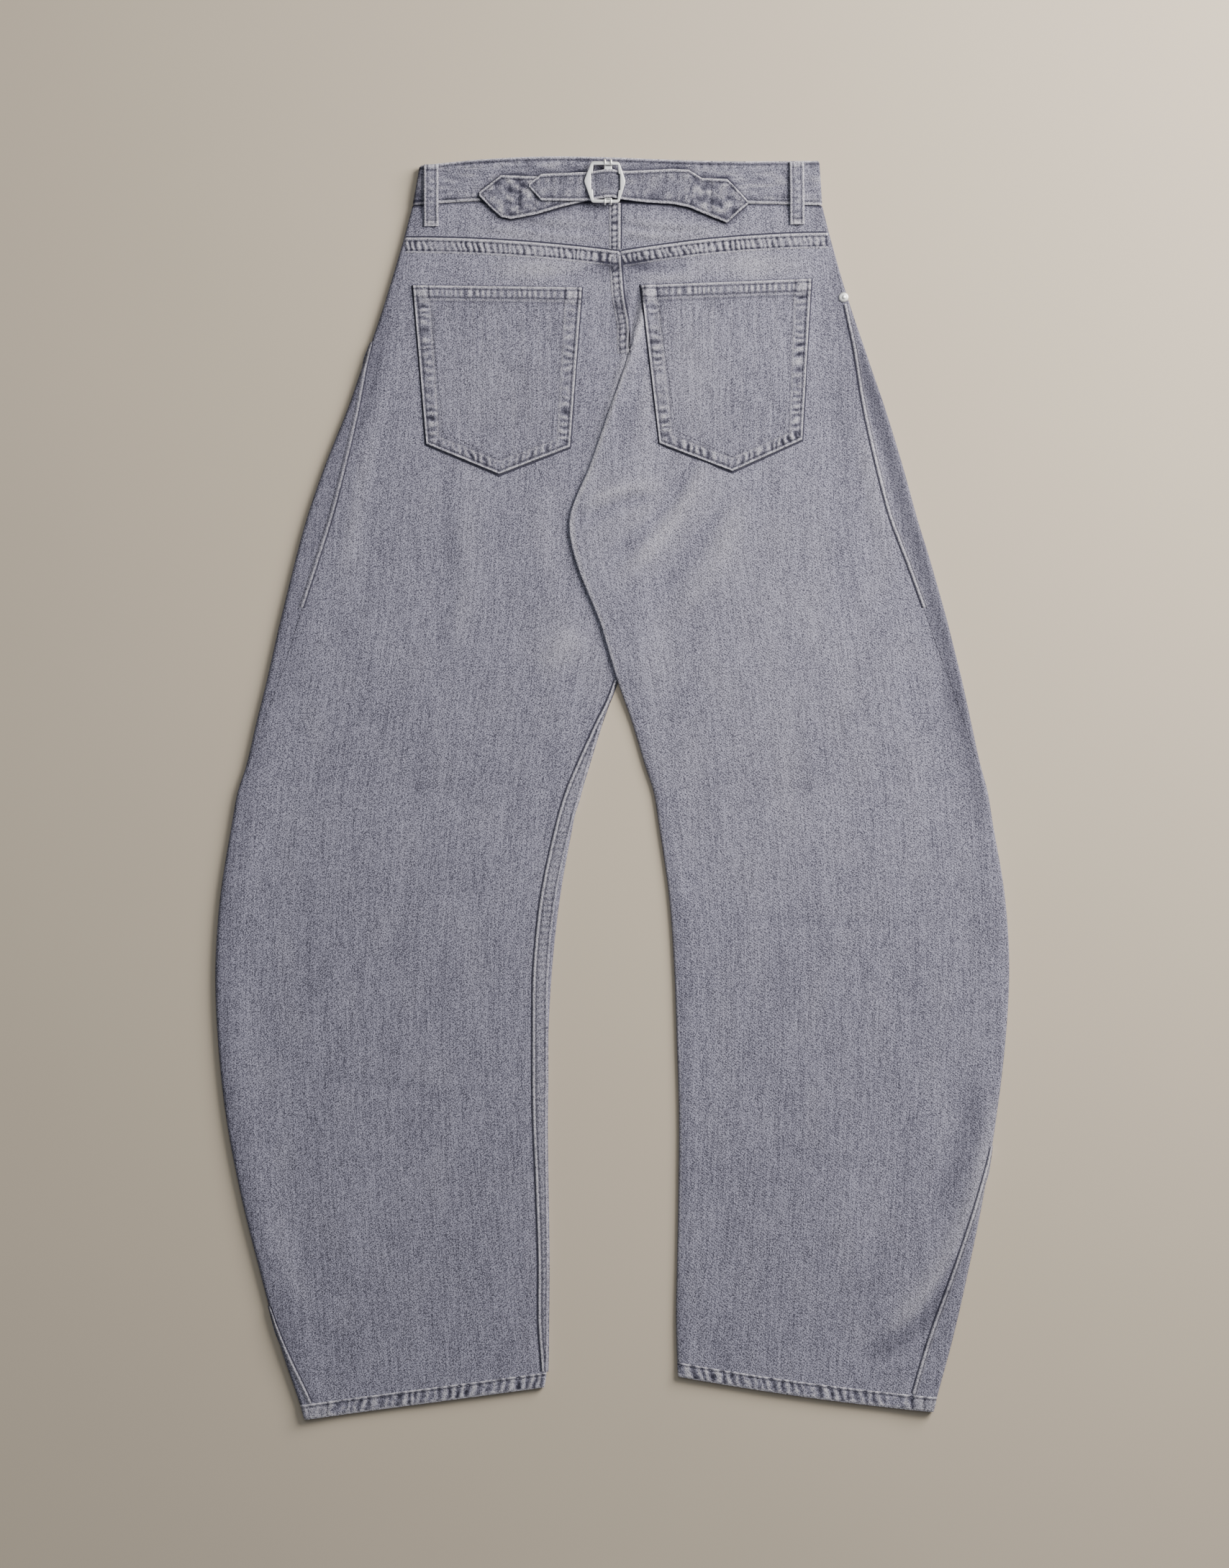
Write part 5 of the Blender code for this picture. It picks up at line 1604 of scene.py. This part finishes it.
def strap_rise(edge, across, along, seed):
    """Rubbed edges, a groove at the stitch line and soft lumps along a strap, with gathers at its tab:
    painted shade in the groove, on the cross stitching and under puckers and lumps, whose tops are paler
    partly from wear and partly as painted highlight, and a slightly darker tab.
    """
    left = seed == LEFT_STRAP_SEED
    tab = 1.0 if left else ease((along - 56.0) / 12.0)
    from_cross = along - TAB_STITCH_X[LEFT if left else RIGHT]
    side = math.copysign(1.0, across)
    in_buckle = 0.0 if left else bell(along + 3.5, 17.0)
    pucker = ladder(along + 3.0 * grain(along, side, 8.0, seed), 10.0, seed + side) * bell(edge - 6.0, 3.0)
    pucker *= (1.0 - 0.7 * tab) * (1.0 - 0.8 * in_buckle)
    lump = grain(along * (0.45 + 0.35 * tab), across, 6.5, seed + 6.0) * (0.9 + 0.8 * tab)
    lump += 0.7 * tab * grain(along, across, 3.4, seed + 8.0)
    lump += 1.1 * grain(along * 0.8, across * 1.2, 3.6, seed + 7.0) * bell(from_cross + 2.0, 8.0)
    lump *= ease(edge / 4.0) * (1.0 - 0.5 * in_buckle)
    fine = grain(along, across, 1.7, seed + 4.0)
    rim = bell(edge - 0.8 - 0.25 * grain(along, side, 7.0, seed), 0.9)
    groove = bell(edge - 3.0, 0.75)
    cross = bell(from_cross, 0.6) * ease((edge - 1.5) / 2.0)
    rise = 0.15 * rim - 0.3 * groove + 0.22 * pucker + 0.35 * lump * ease(edge / 3.0) - 0.4 * cross
    worn = 1.5 * rim * rubbed(fine) + 0.3 * max(0.0, pucker)
    worn += (0.45 + 0.35 * tab) * max(0.0, lump) * (1.0 - rim)
    # Painted shade in the stitch groove, on the cross stitching and under puckers and lumps, and a slightly
    # darker tab
    deep = 0.8 * groove * (0.85 + 0.3 * fine) + 0.5 * max(0.0, -pucker)
    deep += (0.6 + 0.35 * tab) * max(0.0, -lump) + 0.75 * cross + 0.08 * tab * ease((edge - 1.5) / 1.5)
    return rise, worn, deep * ease((edge - 0.6) / 1.2)


def loop_profile(loop):
    """The rise of a belt loop, with its turned ends, its rubbed rims, cloudy mottling, and painted shade in
    its grooves, at its bars and under its middle puckers, whose tops get painted highlights.
    """

    def rise_at(edge, across, along, seed):
        fine = grain(along, across, 1.7, seed + 4.0)
        from_end = min(abs(loop.upper_y - along), abs(along - loop.lower_y))
        rim = max(bell(edge - 0.7, 0.9), bell(from_end - 0.8, 1.0))
        groove = bell(edge - 2.7, 0.65)
        middle = bell(across, 1.8) * ladder(along, 6.0, seed)
        tack = ease((5.0 - from_end) / 1.0)
        bar = bell(from_end - 5.0, 0.7)
        rise = 0.15 * rim - 0.25 * groove + 0.2 * middle + 0.15 * tack - 0.25 * bar
        cloudy = grain(along, across, 5.0, seed + 6.0)
        worn = 1.15 * rim * (0.75 + 0.9 * fine) + 0.4 * max(0.0, middle)
        worn += 0.3 * tack + 0.45 * max(0.0, cloudy)
        # Painted shade in the grooves, at the bars and under the middle puckers, with cloudy mottling
        deep = 0.7 * groove * (0.85 + 0.3 * fine) + 0.45 * max(0.0, -middle) + 0.6 * bar
        deep += 0.5 * max(0.0, -cloudy)
        return rise, worn, deep * ease((edge - 0.6) / 1.2)

    return rise_at


def strap_stations(places, step=1.1):
    """Even stations along a strap's table, smooth in height and straight in outline."""
    found = []
    for a, b in zip(places, places[1:]):
        count = max(2, round((b.x - a.x) / step))
        for k in range(count):
            found.append(station_between(a, b, k / count))
    found.append(station_between(places[-2], places[-1], 1.0))
    return found


def station_between(a, b, t):
    """A station of a strap at a share of the way between two places of its table."""
    upper, lower = lerp(a.upper_y, b.upper_y, t), lerp(a.lower_y, b.lower_y, t)
    x = lerp(a.x, b.x, t)
    middle = Vector((x, (upper + lower) / 2))
    return middle, Vector((0.0, (upper - lower) / 2)), lerp(a.low, b.low, ease(t)), x


def loop_stations(loop):
    """A back belt loop: over the waistband and down to the yoke, with both ends folded under."""
    heights = [
        (0.0, BAND_TOP - 0.1), (0.05, BAND_TOP + 0.9), (0.16, BAND_TOP + 1.2), (0.4, BAND_TOP + 1.6),
        (0.65, BAND_TOP + 1.3), (0.82, EDGE_TOP + 1.0), (0.93, EDGE_TOP + 0.5), (1.0, EDGE_TOP + 0.2),
    ]
    found = []
    for (ta, za), (tb, zb) in zip(heights, heights[1:]):
        count = max(2, round((tb - ta) * 46))
        for k in range(count + (tb == 1.0)):
            t = lerp(ta, tb, k / count)
            x, y = lerp(loop.upper_x, loop.lower_x, t), lerp(loop.upper_y, loop.lower_y, t)
            low = lerp(za, zb, k / count)
            found.append((Vector((x, y)), Vector((LOOP_WIDTH / 2, 0.0)), low, y))
    return found


class JEANS_OT_belt_loops(bpy.types.Operator):
    """Make the belt loops of the back and the plain ones of the front"""

    bl_idname = "jeans.belt_loops"
    bl_label = "Belt loops"

    def execute(self, context):
        for side, name in SIDE_NAMES.items():
            back, front = BACK_LOOPS[side], FRONT_LOOPS[side]
            bm = ribbon_mesh(loop_stations(back), BACK_LOOP_WALL, 22, loop_profile(back), 31.0 + side)
            add_piece(f"belt_loop_back_{name}", bm, ["denim_seam"], [f"loop_back_{name}"])
            half = Vector((LOOP_WIDTH / 2, 0.0))
            levels = spread(front.upper_y, front.lower_y, 30)
            stations = [(Vector((front.upper_x, y)), half, 0.0, y) for y in levels]
            bm = ribbon_mesh(stations, FRONT_LOOP_WALL, 8, plain_rise, 0.0)
            add_piece(f"belt_loop_front_{name}", bm, ["denim_seam"], [f"loop_front_{name}"])
        return {"FINISHED"}


class JEANS_OT_cinch(bpy.types.Operator):
    """Make the two pointed cinch straps"""

    bl_idname = "jeans.cinch"
    bl_label = "Cinch straps"

    def execute(self, context):
        straps = ("left", LEFT_STRAP, LEFT_STRAP_SEED), ("right", RIGHT_STRAP, RIGHT_STRAP_SEED)
        for name, places, seed in straps:
            bm = ribbon_mesh(strap_stations(places), STRAP_WALL, 34, strap_rise, seed)
            add_piece(f"cinch_strap_{name}", bm, ["denim_strap"], [f"cinch_{name}"])
        return {"FINISHED"}


def prism(outline, low, high, opening=None):
    """A flat plate between two heights with an outline and, if given, an opening."""
    bm = bmesh.new()
    loops = []
    for points in [outline] + ([opening] if opening else []):
        verts = [bm.verts.new(Vector((x, y, low)) * MM) for x, y in points]
        loops += [bm.edges.new((verts[i - 1], verts[i])) for i in range(len(verts))]
    bmesh.ops.triangle_fill(bm, edges=loops, use_beauty=True)
    bmesh.ops.dissolve_limit(bm, angle_limit=0.01, verts=bm.verts[:], edges=bm.edges[:])
    grown = bmesh.ops.extrude_face_region(bm, geom=bm.faces[:])
    moved = [item for item in grown["geom"] if isinstance(item, bmesh.types.BMVert)]
    bmesh.ops.translate(bm, verts=moved, vec=Vector((0.0, 0.0, high - low)) * MM)
    bmesh.ops.recalc_face_normals(bm, faces=bm.faces)
    return bm


def rounded(outline, radius, segments=4):
    """An outline with each corner cut to a short curve."""
    points = [Vector(point) for point in outline]
    found = []
    for i, corner in enumerate(points):
        before, after = points[i - 1], points[(i + 1) % len(points)]
        reach = min(radius, (before - corner).length * 0.45, (after - corner).length * 0.45)
        start = corner + (before - corner).normalized() * reach
        end = corner + (after - corner).normalized() * reach
        for t in spread(0.0, 1.0, segments):
            found.append(tuple(start.lerp(corner, t).lerp(corner.lerp(end, t), t)))
    return found


def bevel_rims(bm, width, segments=3):
    """Rounds the edges of a plate where its walls meet its faces."""
    rims = [edge for edge in bm.edges if len(edge.link_faces) == 2 and edge.calc_face_angle() > 0.9]
    bmesh.ops.bevel(
        bm, geom=rims, offset=width * MM, segments=segments, profile=0.5, affect="EDGES", material=-1,
        clamp_overlap=True,
    )


class JEANS_OT_buckle(bpy.types.Operator):
    """Make the buckle's frame and its centre bar with two hooked prongs at each end"""

    bl_idname = "jeans.buckle"
    bl_label = "Buckle"

    def execute(self, context):
        high = BUCKLE_LOW + BUCKLE_WALL
        bm = prism(rounded(BUCKLE_OUTLINE, 2.2), BUCKLE_LOW, high, rounded(BUCKLE_OPENING, 0.7, 2))
        bevel_rims(bm, 0.5)
        add_piece("buckle_frame", bm, ["nickel_plate"], ["buckle"], 40.0)

        upper, lower = BUCKLE_OUTLINE[0][1], BUCKLE_OUTLINE[4][1]
        above, below = upper + HOOK_GAP + BAR_WALL, lower - HOOK_GAP - BAR_WALL
        hook = high + HOOK_GAP
        path = [
            (lower + 1.9, hook), (lower - 0.4, hook + 0.3), (below, hook - 0.5), (below, BAR_LOW + 0.4),
            (lower + 0.6, BAR_LOW), (upper - 0.6, BAR_LOW), (above, BAR_LOW + 0.4), (above, hook - 0.5),
            (upper + 0.4, hook + 0.3), (upper - 2.1, hook),
        ]
        bar = bmesh.new()
        for x in PRONGS_X:
            middle = [Vector((x, y, z + BAR_WALL / 2)) for y, z in path]
            add_wire(bar, middle, PRONG_WIDTH / 2, BAR_WALL / 2)
        corners = (PRONGS_X[0], lower + BAR_PLATE_IN), (PRONGS_X[1], upper - BAR_PLATE_IN)
        add_block(bar, *corners, BAR_LOW + 0.1, BAR_LOW + BAR_WALL)
        bmesh.ops.recalc_face_normals(bar, faces=bar.faces)
        add_piece("buckle_centre_bar", bar, ["nickel_plate"], ["buckle_bar"], 40.0)
        return {"FINISHED"}


def add_block(bm, near, far, low, high):
    """A plain block between two corners and two heights, added to a mesh."""
    made = bmesh.ops.create_cube(bm, size=1.0)["verts"]
    size = Vector((far[0] - near[0], far[1] - near[1], high - low)) * MM
    centre = Vector(((far[0] + near[0]) / 2, (far[1] + near[1]) / 2, (high + low) / 2)) * MM
    bmesh.ops.scale(bm, vec=size, verts=made)
    bmesh.ops.translate(bm, vec=centre, verts=made)


def add_wire(bm, path, half_width, half_height, sides=10):
    """A rounded bar along a path in a plane of equal x, added to a mesh."""
    rings = []
    for i, place in enumerate(path):
        before, after = path[max(i - 1, 0)], path[min(i + 1, len(path) - 1)]
        direction = (after - before).normalized()
        up = Vector((1.0, 0.0, 0.0)).cross(direction).normalized()
        ring = []
        for k in range(sides):
            angle = 2.0 * math.pi * (k + 0.5) / sides
            offset = Vector((math.cos(angle) * half_width, 0.0, 0.0)) + up * math.sin(angle) * half_height
            ring.append(bm.verts.new((place + offset) * MM))
        rings.append(ring)
    for ring, following in zip(rings, rings[1:]):
        for k in range(sides):
            m = (k + 1) % sides
            bm.faces.new((ring[k], ring[m], following[m], following[k]))
    bm.faces.new(rings[0][::-1])
    bm.faces.new(rings[-1])


def turned_disc(bm, centre, profile, base, segments=32):
    """A round piece from its profile of (radius, height) pairs, about an upright line."""
    verts = [bm.verts.new(Vector((radius, 0.0, height)) * MM) for radius, height in profile]
    edges = [bm.edges.new((a, b)) for a, b in zip(verts, verts[1:])]
    bmesh.ops.spin(
        bm, geom=verts + edges, cent=(0, 0, 0), axis=(0, 0, 1), angle=2.0 * math.pi, steps=segments,
        use_merge=True, use_duplicate=False,
    )
    bmesh.ops.remove_doubles(bm, verts=bm.verts, dist=1e-7)
    bmesh.ops.translate(bm, vec=Vector((centre[0], centre[1], base)) * MM, verts=bm.verts)
    bmesh.ops.recalc_face_normals(bm, faces=bm.faces)


class JEANS_OT_fastenings(bpy.types.Operator):
    """Make the rivet, the waist button and the fly shield"""

    bl_idname = "jeans.fastenings"
    bl_label = "Rivet, button and fly"

    def execute(self, context):
        ground = Ground(piece_named("leg_front_right"), piece_named("leg_back_right"))
        base = ground.height(*RIVET_AT) - 0.2
        bm = bmesh.new()
        radius = RIVET_RADIUS
        turned_disc(
            bm, RIVET_AT,
            [(0.0, 1.75), (0.9, 1.7), (1.5, 1.3), (1.9, 1.15), (radius - 0.9, 1.3), (radius - 0.2, 0.95),
             (radius, 0.4), (radius, 0.0), (0.0, 0.0)], base,
        )
        add_piece("side_rivet", bm, ["nickel_plate"], ["rivet"], 60.0)
        bm = bmesh.new()
        radius = BUTTON_RADIUS
        turned_disc(
            bm, BUTTON_AT,
            [(0.0, 0.35), (radius - 2.6, 0.3), (radius - 1.8, 0.05), (radius - 0.6, 0.05), (radius, 0.4),
             (radius - 0.3, 0.9), (radius - 2.0, 1.15), (0.0, 1.15)], 0.0,
        )
        add_piece("waist_button", bm, ["nickel_plate"], ["button"], 60.0)
        self.make_fly()
        return {"FINISHED"}

    def make_fly(self):
        rows = []
        for a, b in zip(FLY, FLY[1:]):
            for t in spread(0.0, 1.0, 8)[: 8 + (b is FLY[-1])]:
                y, free = lerp(a.y, b.y, t), lerp(a.free_x, b.free_x, t)
                row = []
                for x in spread(FLY_FOLD_X, free, 12):
                    z = lower_wall_top(y) + PLY + FLY_CLEARANCE
                    row.append(Spot(Vector((x, y, z)), (x, y)))
                rows.append(row)
        bm = mapped_grid(rows)
        thicken(bm, PLY)
        add_piece("fly_shield", bm, ["denim_yoke"], ["fly"])


def lower_wall_top(y):
    """Height of the inner face of the front panels near the waist."""
    seam = WAIST_SEAM[RIGHT]
    start = LEGS[RIGHT][-1].inner_y + 5.0
    rise = seam.low * min(max((y - start) / (seam.inner_y - start), 0.0), 1.0)
    return rise + PLY


# Sewing

THREAD_WIDTH = 0.34
THREAD_HEIGHT = 0.26
THREAD_LIFT = 0.08
LEAST_GROUND = 0.5


def add_stitches(bm, path, ground, rng):
    """A row of stitches along a path, lying on the cloth and left out where no cloth is below."""
    chosen = settings()
    pitch, length = chosen.stitch_pitch / MM, chosen.stitch_length / MM
    for place, direction, _ in along_path(path, pitch):
        x, y = place
        ahead = place + direction * length * 0.4
        behind = place - direction * length * 0.4
        z = ground.height(x, y, 0.0)
        z_ahead, z_behind = ground.height(*ahead, 0.0), ground.height(*behind, 0.0)
        if min(z, z_ahead, z_behind) < LEAST_GROUND:
            continue
        slope = math.atan2(z_ahead - z_behind, length * 0.8)
        turn = math.atan2(direction.y, direction.x) + rng.uniform(-0.05, 0.05)
        half_length = length * 0.5 * rng.uniform(0.9, 1.05)
        size = Matrix.Diagonal((half_length, THREAD_WIDTH, THREAD_HEIGHT, 1.0))
        matrix = (
            Matrix.Translation(Vector((x, y, (z_ahead + z_behind) / 2 + THREAD_LIFT)) * MM)
            @ Matrix.Rotation(turn, 4, "Z")
            @ Matrix.Rotation(-slope, 4, "Y")
            @ size
        )
        bmesh.ops.create_icosphere(bm, subdivisions=1, radius=MM, matrix=matrix)


def moved_path(path, offset):
    """A path moved to the left of its direction."""
    found = []
    for i, point in enumerate(path):
        before, after = Vector(path[max(i - 1, 0)]), Vector(path[min(i + 1, len(path) - 1)])
        direction = (after - before).normalized()
        found.append((point[0] - direction.y * offset, point[1] + direction.x * offset))
    return found


def pocket_lines(pocket):
    """The sewing on a pocket: round its sides at two distances, and across its hem."""
    upper_left, upper_right, lower_right, point, lower_left = [Vector(corner) for corner in pocket]
    middle = (upper_left + upper_right + lower_right + lower_left) / 4

    def inset(corner, by_x, by_y):
        towards = Vector((math.copysign(by_x, middle.x - corner.x), by_y))
        return tuple(corner + towards)

    lines = []
    for side_in, foot_in, mouth_in in ((2.6, 2.6, -1.0), (14.5, 11.6, -11.0)):
        a, b = inset(upper_left, side_in, mouth_in), inset(upper_right, side_in, mouth_in)
        c, d = inset(lower_right, side_in, foot_in * 0.9), inset(lower_left, side_in, foot_in * 0.9)
        tip = (point.x, point.y + foot_in * 1.08)
        lines += [[a, d], [d, tip], [tip, c], [c, b]]
    lines.append([inset(upper_left, 1.5, -9.9), inset(upper_right, 1.5, -9.9)])
    return lines


# Rows of stitches: a seam between these widths has two, and the others say how far a row is inside an edge
TWO_ROW_WIDTHS = (5.0, 12.0)
HEM_ROW = 2.2
BAND_EDGE_ROW = 3.0
BAND_SEAM_ROW = 3.6
BAND_END_ROW = 3.0
STRAP_ROW = 2.7
STRAP_TIP_ROW = 3.6
STRAP_LEAST_WIDTH = 12.0
LOOP_ROW_OFF = 3.4
LOOP_END_ROW = 3.0


def strap_rows(side):
    """Lines of stitches on a cinch strap: along its upper and lower edge to the tip, and across its tab."""
    places = LEFT_STRAP if side == LEFT else RIGHT_STRAP
    tip = places[0] if side == LEFT else places[-1]
    end = (tip.x - side * STRAP_TIP_ROW, (tip.upper_y + tip.lower_y) / 2)
    wide = [place for place in places if place.upper_y - place.lower_y > STRAP_LEAST_WIDTH]
    upper = [(place.x, place.upper_y - STRAP_ROW) for place in wide]
    lower = [(place.x, place.lower_y + STRAP_ROW) for place in wide]
    rows = [[end] + line if side == LEFT else line + [end] for line in (upper, lower)]
    x = TAB_STITCH_X[side]
    return rows + [[(x, TAB_STITCH_Y[0]), (x - 0.5, TAB_STITCH_Y[1])]]


class JEANS_OT_sewing(bpy.types.Operator):
    """Make the stitches of the felled seams, pockets, straps, back belt loops, band and hems"""

    bl_idname = "jeans.sewing"
    bl_label = "Sewing"

    def execute(self, context):
        rng = random.Random(settings().seed)
        seams = felled_seams()
        ground = upper_ground(*[seam.name for seam in seams])
        bm = bmesh.new()
        for seam in seams:
            add_stitches(bm, moved_path(seam.path, TOP_STITCH), ground, rng)
            if TWO_ROW_WIDTHS[0] < seam.width < TWO_ROW_WIDTHS[1]:
                add_stitches(bm, moved_path(seam.path, seam.width - FAR_STITCH), ground, rng)
        add_piece("seam_stitches", bm, ["sewing_thread"])

        bm = bmesh.new()
        for side, name in SIDE_NAMES.items():
            on_pocket = Ground(piece_named(f"patch_pocket_{name}"))
            for line in pocket_lines(POCKETS[side]):
                add_stitches(bm, line, on_pocket, rng)
            on_hem = Ground(piece_named(f"hem_{name}"))
            row = back_row(side, LEGS[side][0].outer_y + HEM_DEPTH - HEM_ROW)
            line = [tuple(row.on_top(s)[0].xy) for s in spread(6.0, row.length - 5.0, 12)]
            add_stitches(bm, line, on_hem, rng)
        add_piece("pocket_and_hem_stitches", bm, ["sewing_thread"])

        bm = bmesh.new()
        on_band = Ground(piece_named("waist_band"))
        across = spread(BAND_EDGE.left_x + BAND_END_ROW, BAND_EDGE.right_x - BAND_END_ROW, 24)
        width = BAND_EDGE.right_x - BAND_EDGE.left_x
        upper = [(x, band_edge_y((x - BAND_EDGE.left_x) / width) - BAND_EDGE_ROW) for x in across]
        add_stitches(bm, upper, on_band, rng)
        add_stitches(bm, [(x, waist_seam_y(x) + BAND_SEAM_ROW) for x in across], on_band, rng)
        for side, name in SIDE_NAMES.items():
            on_strap = Ground(piece_named(f"cinch_strap_{name}"))
            for line in strap_rows(side):
                add_stitches(bm, line, on_strap, rng)
        for side, name in SIDE_NAMES.items():
            on_loop = Ground(piece_named(f"belt_loop_back_{name}"))
            loop = BACK_LOOPS[side]
            for off in (-LOOP_ROW_OFF, LOOP_ROW_OFF):
                first = (loop.upper_x + off, loop.upper_y - LOOP_END_ROW)
                add_stitches(bm, [first, (loop.lower_x + off, loop.lower_y + LOOP_END_ROW)], on_loop, rng)
        add_piece("band_and_strap_stitches", bm, ["sewing_thread"])
        return {"FINISHED"}


# Stage

# In metres, watts and shares of each colour
CAMERA_AT = (0.0018, 0.0042, 2.6)
SENSOR_WIDTH = 36.0
VIEW_HEIGHT = 1.3074
FLOOR_REACH = 6.0
FLOOR_DROP = 0.0002
SKY_COLOUR = (0.88, 0.94, 1.0, 1.0)
SKY_STRENGTH = 0.14
Light = namedtuple("Light", "name place size power colour")
LIGHTS = [
    Light("window", (1.25, 1.0, 1.0), 1.1, 66.0, (1.0, 0.965, 0.92)),
    Light("overhead", (0.0, 1.1, 3.0), 1.6, 16.0, (0.95, 0.98, 1.0)),
]


class JEANS_OT_stage(bpy.types.Operator):
    """Make the floor, the lights and the camera"""

    bl_idname = "jeans.stage"
    bl_label = "Stage"

    def execute(self, context):
        bm = bmesh.new()
        bmesh.ops.create_grid(bm, x_segments=2, y_segments=2, size=FLOOR_REACH)
        bmesh.ops.translate(bm, vec=(0.0, 0.0, -FLOOR_DROP), verts=bm.verts)
        mesh = bpy.data.meshes.new("floor")
        bm.to_mesh(mesh)
        bm.free()
        mesh.materials.append(bpy.data.materials["floor_screed"])
        floor = bpy.data.objects.new("floor", mesh)
        context.scene.collection.objects.link(floor)

        world = bpy.data.worlds.new("studio")
        world.use_nodes = True
        set_inputs(world.node_tree.nodes["Background"], Color=SKY_COLOUR, Strength=SKY_STRENGTH)
        context.scene.world = world
        for light in LIGHTS:
            self.add_light(light)

        camera = bpy.data.cameras.new("camera")
        camera.sensor_width = SENSOR_WIDTH
        camera.lens = SENSOR_WIDTH * CAMERA_AT[2] / VIEW_HEIGHT
        holder = bpy.data.objects.new("camera", camera)
        holder.location = CAMERA_AT
        context.scene.collection.objects.link(holder)
        context.scene.camera = holder
        return {"FINISHED"}

    def add_light(self, light):
        """Add a square light that faces the middle of the floor."""
        made = bpy.data.lights.new(light.name, "AREA")
        made.size = light.size
        made.energy = light.power
        made.color = light.colour
        holder = bpy.data.objects.new(light.name, made)
        holder.location = light.place
        holder.rotation_mode = "QUATERNION"
        holder.rotation_quaternion = (-Vector(light.place)).to_track_quat("-Z", "Y")
        bpy.context.scene.collection.objects.link(holder)


class JEANS_PT_sidebar(bpy.types.Panel):
    """Sizes, colours and steps of the jeans"""

    bl_idname = "JEANS_PT_sidebar"
    bl_label = "Jeans"
    bl_space_type = "VIEW_3D"
    bl_region_type = "UI"
    bl_category = "Jeans"

    def draw(self, context):
        chosen = context.scene.jeans_settings
        for name in JeansSettings.__annotations__:
            self.layout.prop(chosen, name)
        for step in STEPS:
            self.layout.operator(step.bl_idname)


STEPS = [
    JEANS_OT_materials,
    JEANS_OT_stage,
    JEANS_OT_front_panels,
    JEANS_OT_back_panels,
    JEANS_OT_yokes,
    JEANS_OT_waistband,
    JEANS_OT_pockets,
    JEANS_OT_seams,
    JEANS_OT_hems,
    JEANS_OT_belt_loops,
    JEANS_OT_cinch,
    JEANS_OT_buckle,
    JEANS_OT_fastenings,
    JEANS_OT_sewing,
]
CLASSES = [JeansSettings, *STEPS, JEANS_PT_sidebar]


def register():
    for item in CLASSES:
        bpy.utils.register_class(item)
    bpy.types.Scene.jeans_settings = PointerProperty(type=JeansSettings)


def unregister():
    del bpy.types.Scene.jeans_settings
    for item in reversed(CLASSES):
        bpy.utils.unregister_class(item)


def main():
    register()
    for step in STEPS:
        group, action = step.bl_idname.split(".")
        getattr(getattr(bpy.ops, group), action)()


if __name__ == "__main__":
    main()
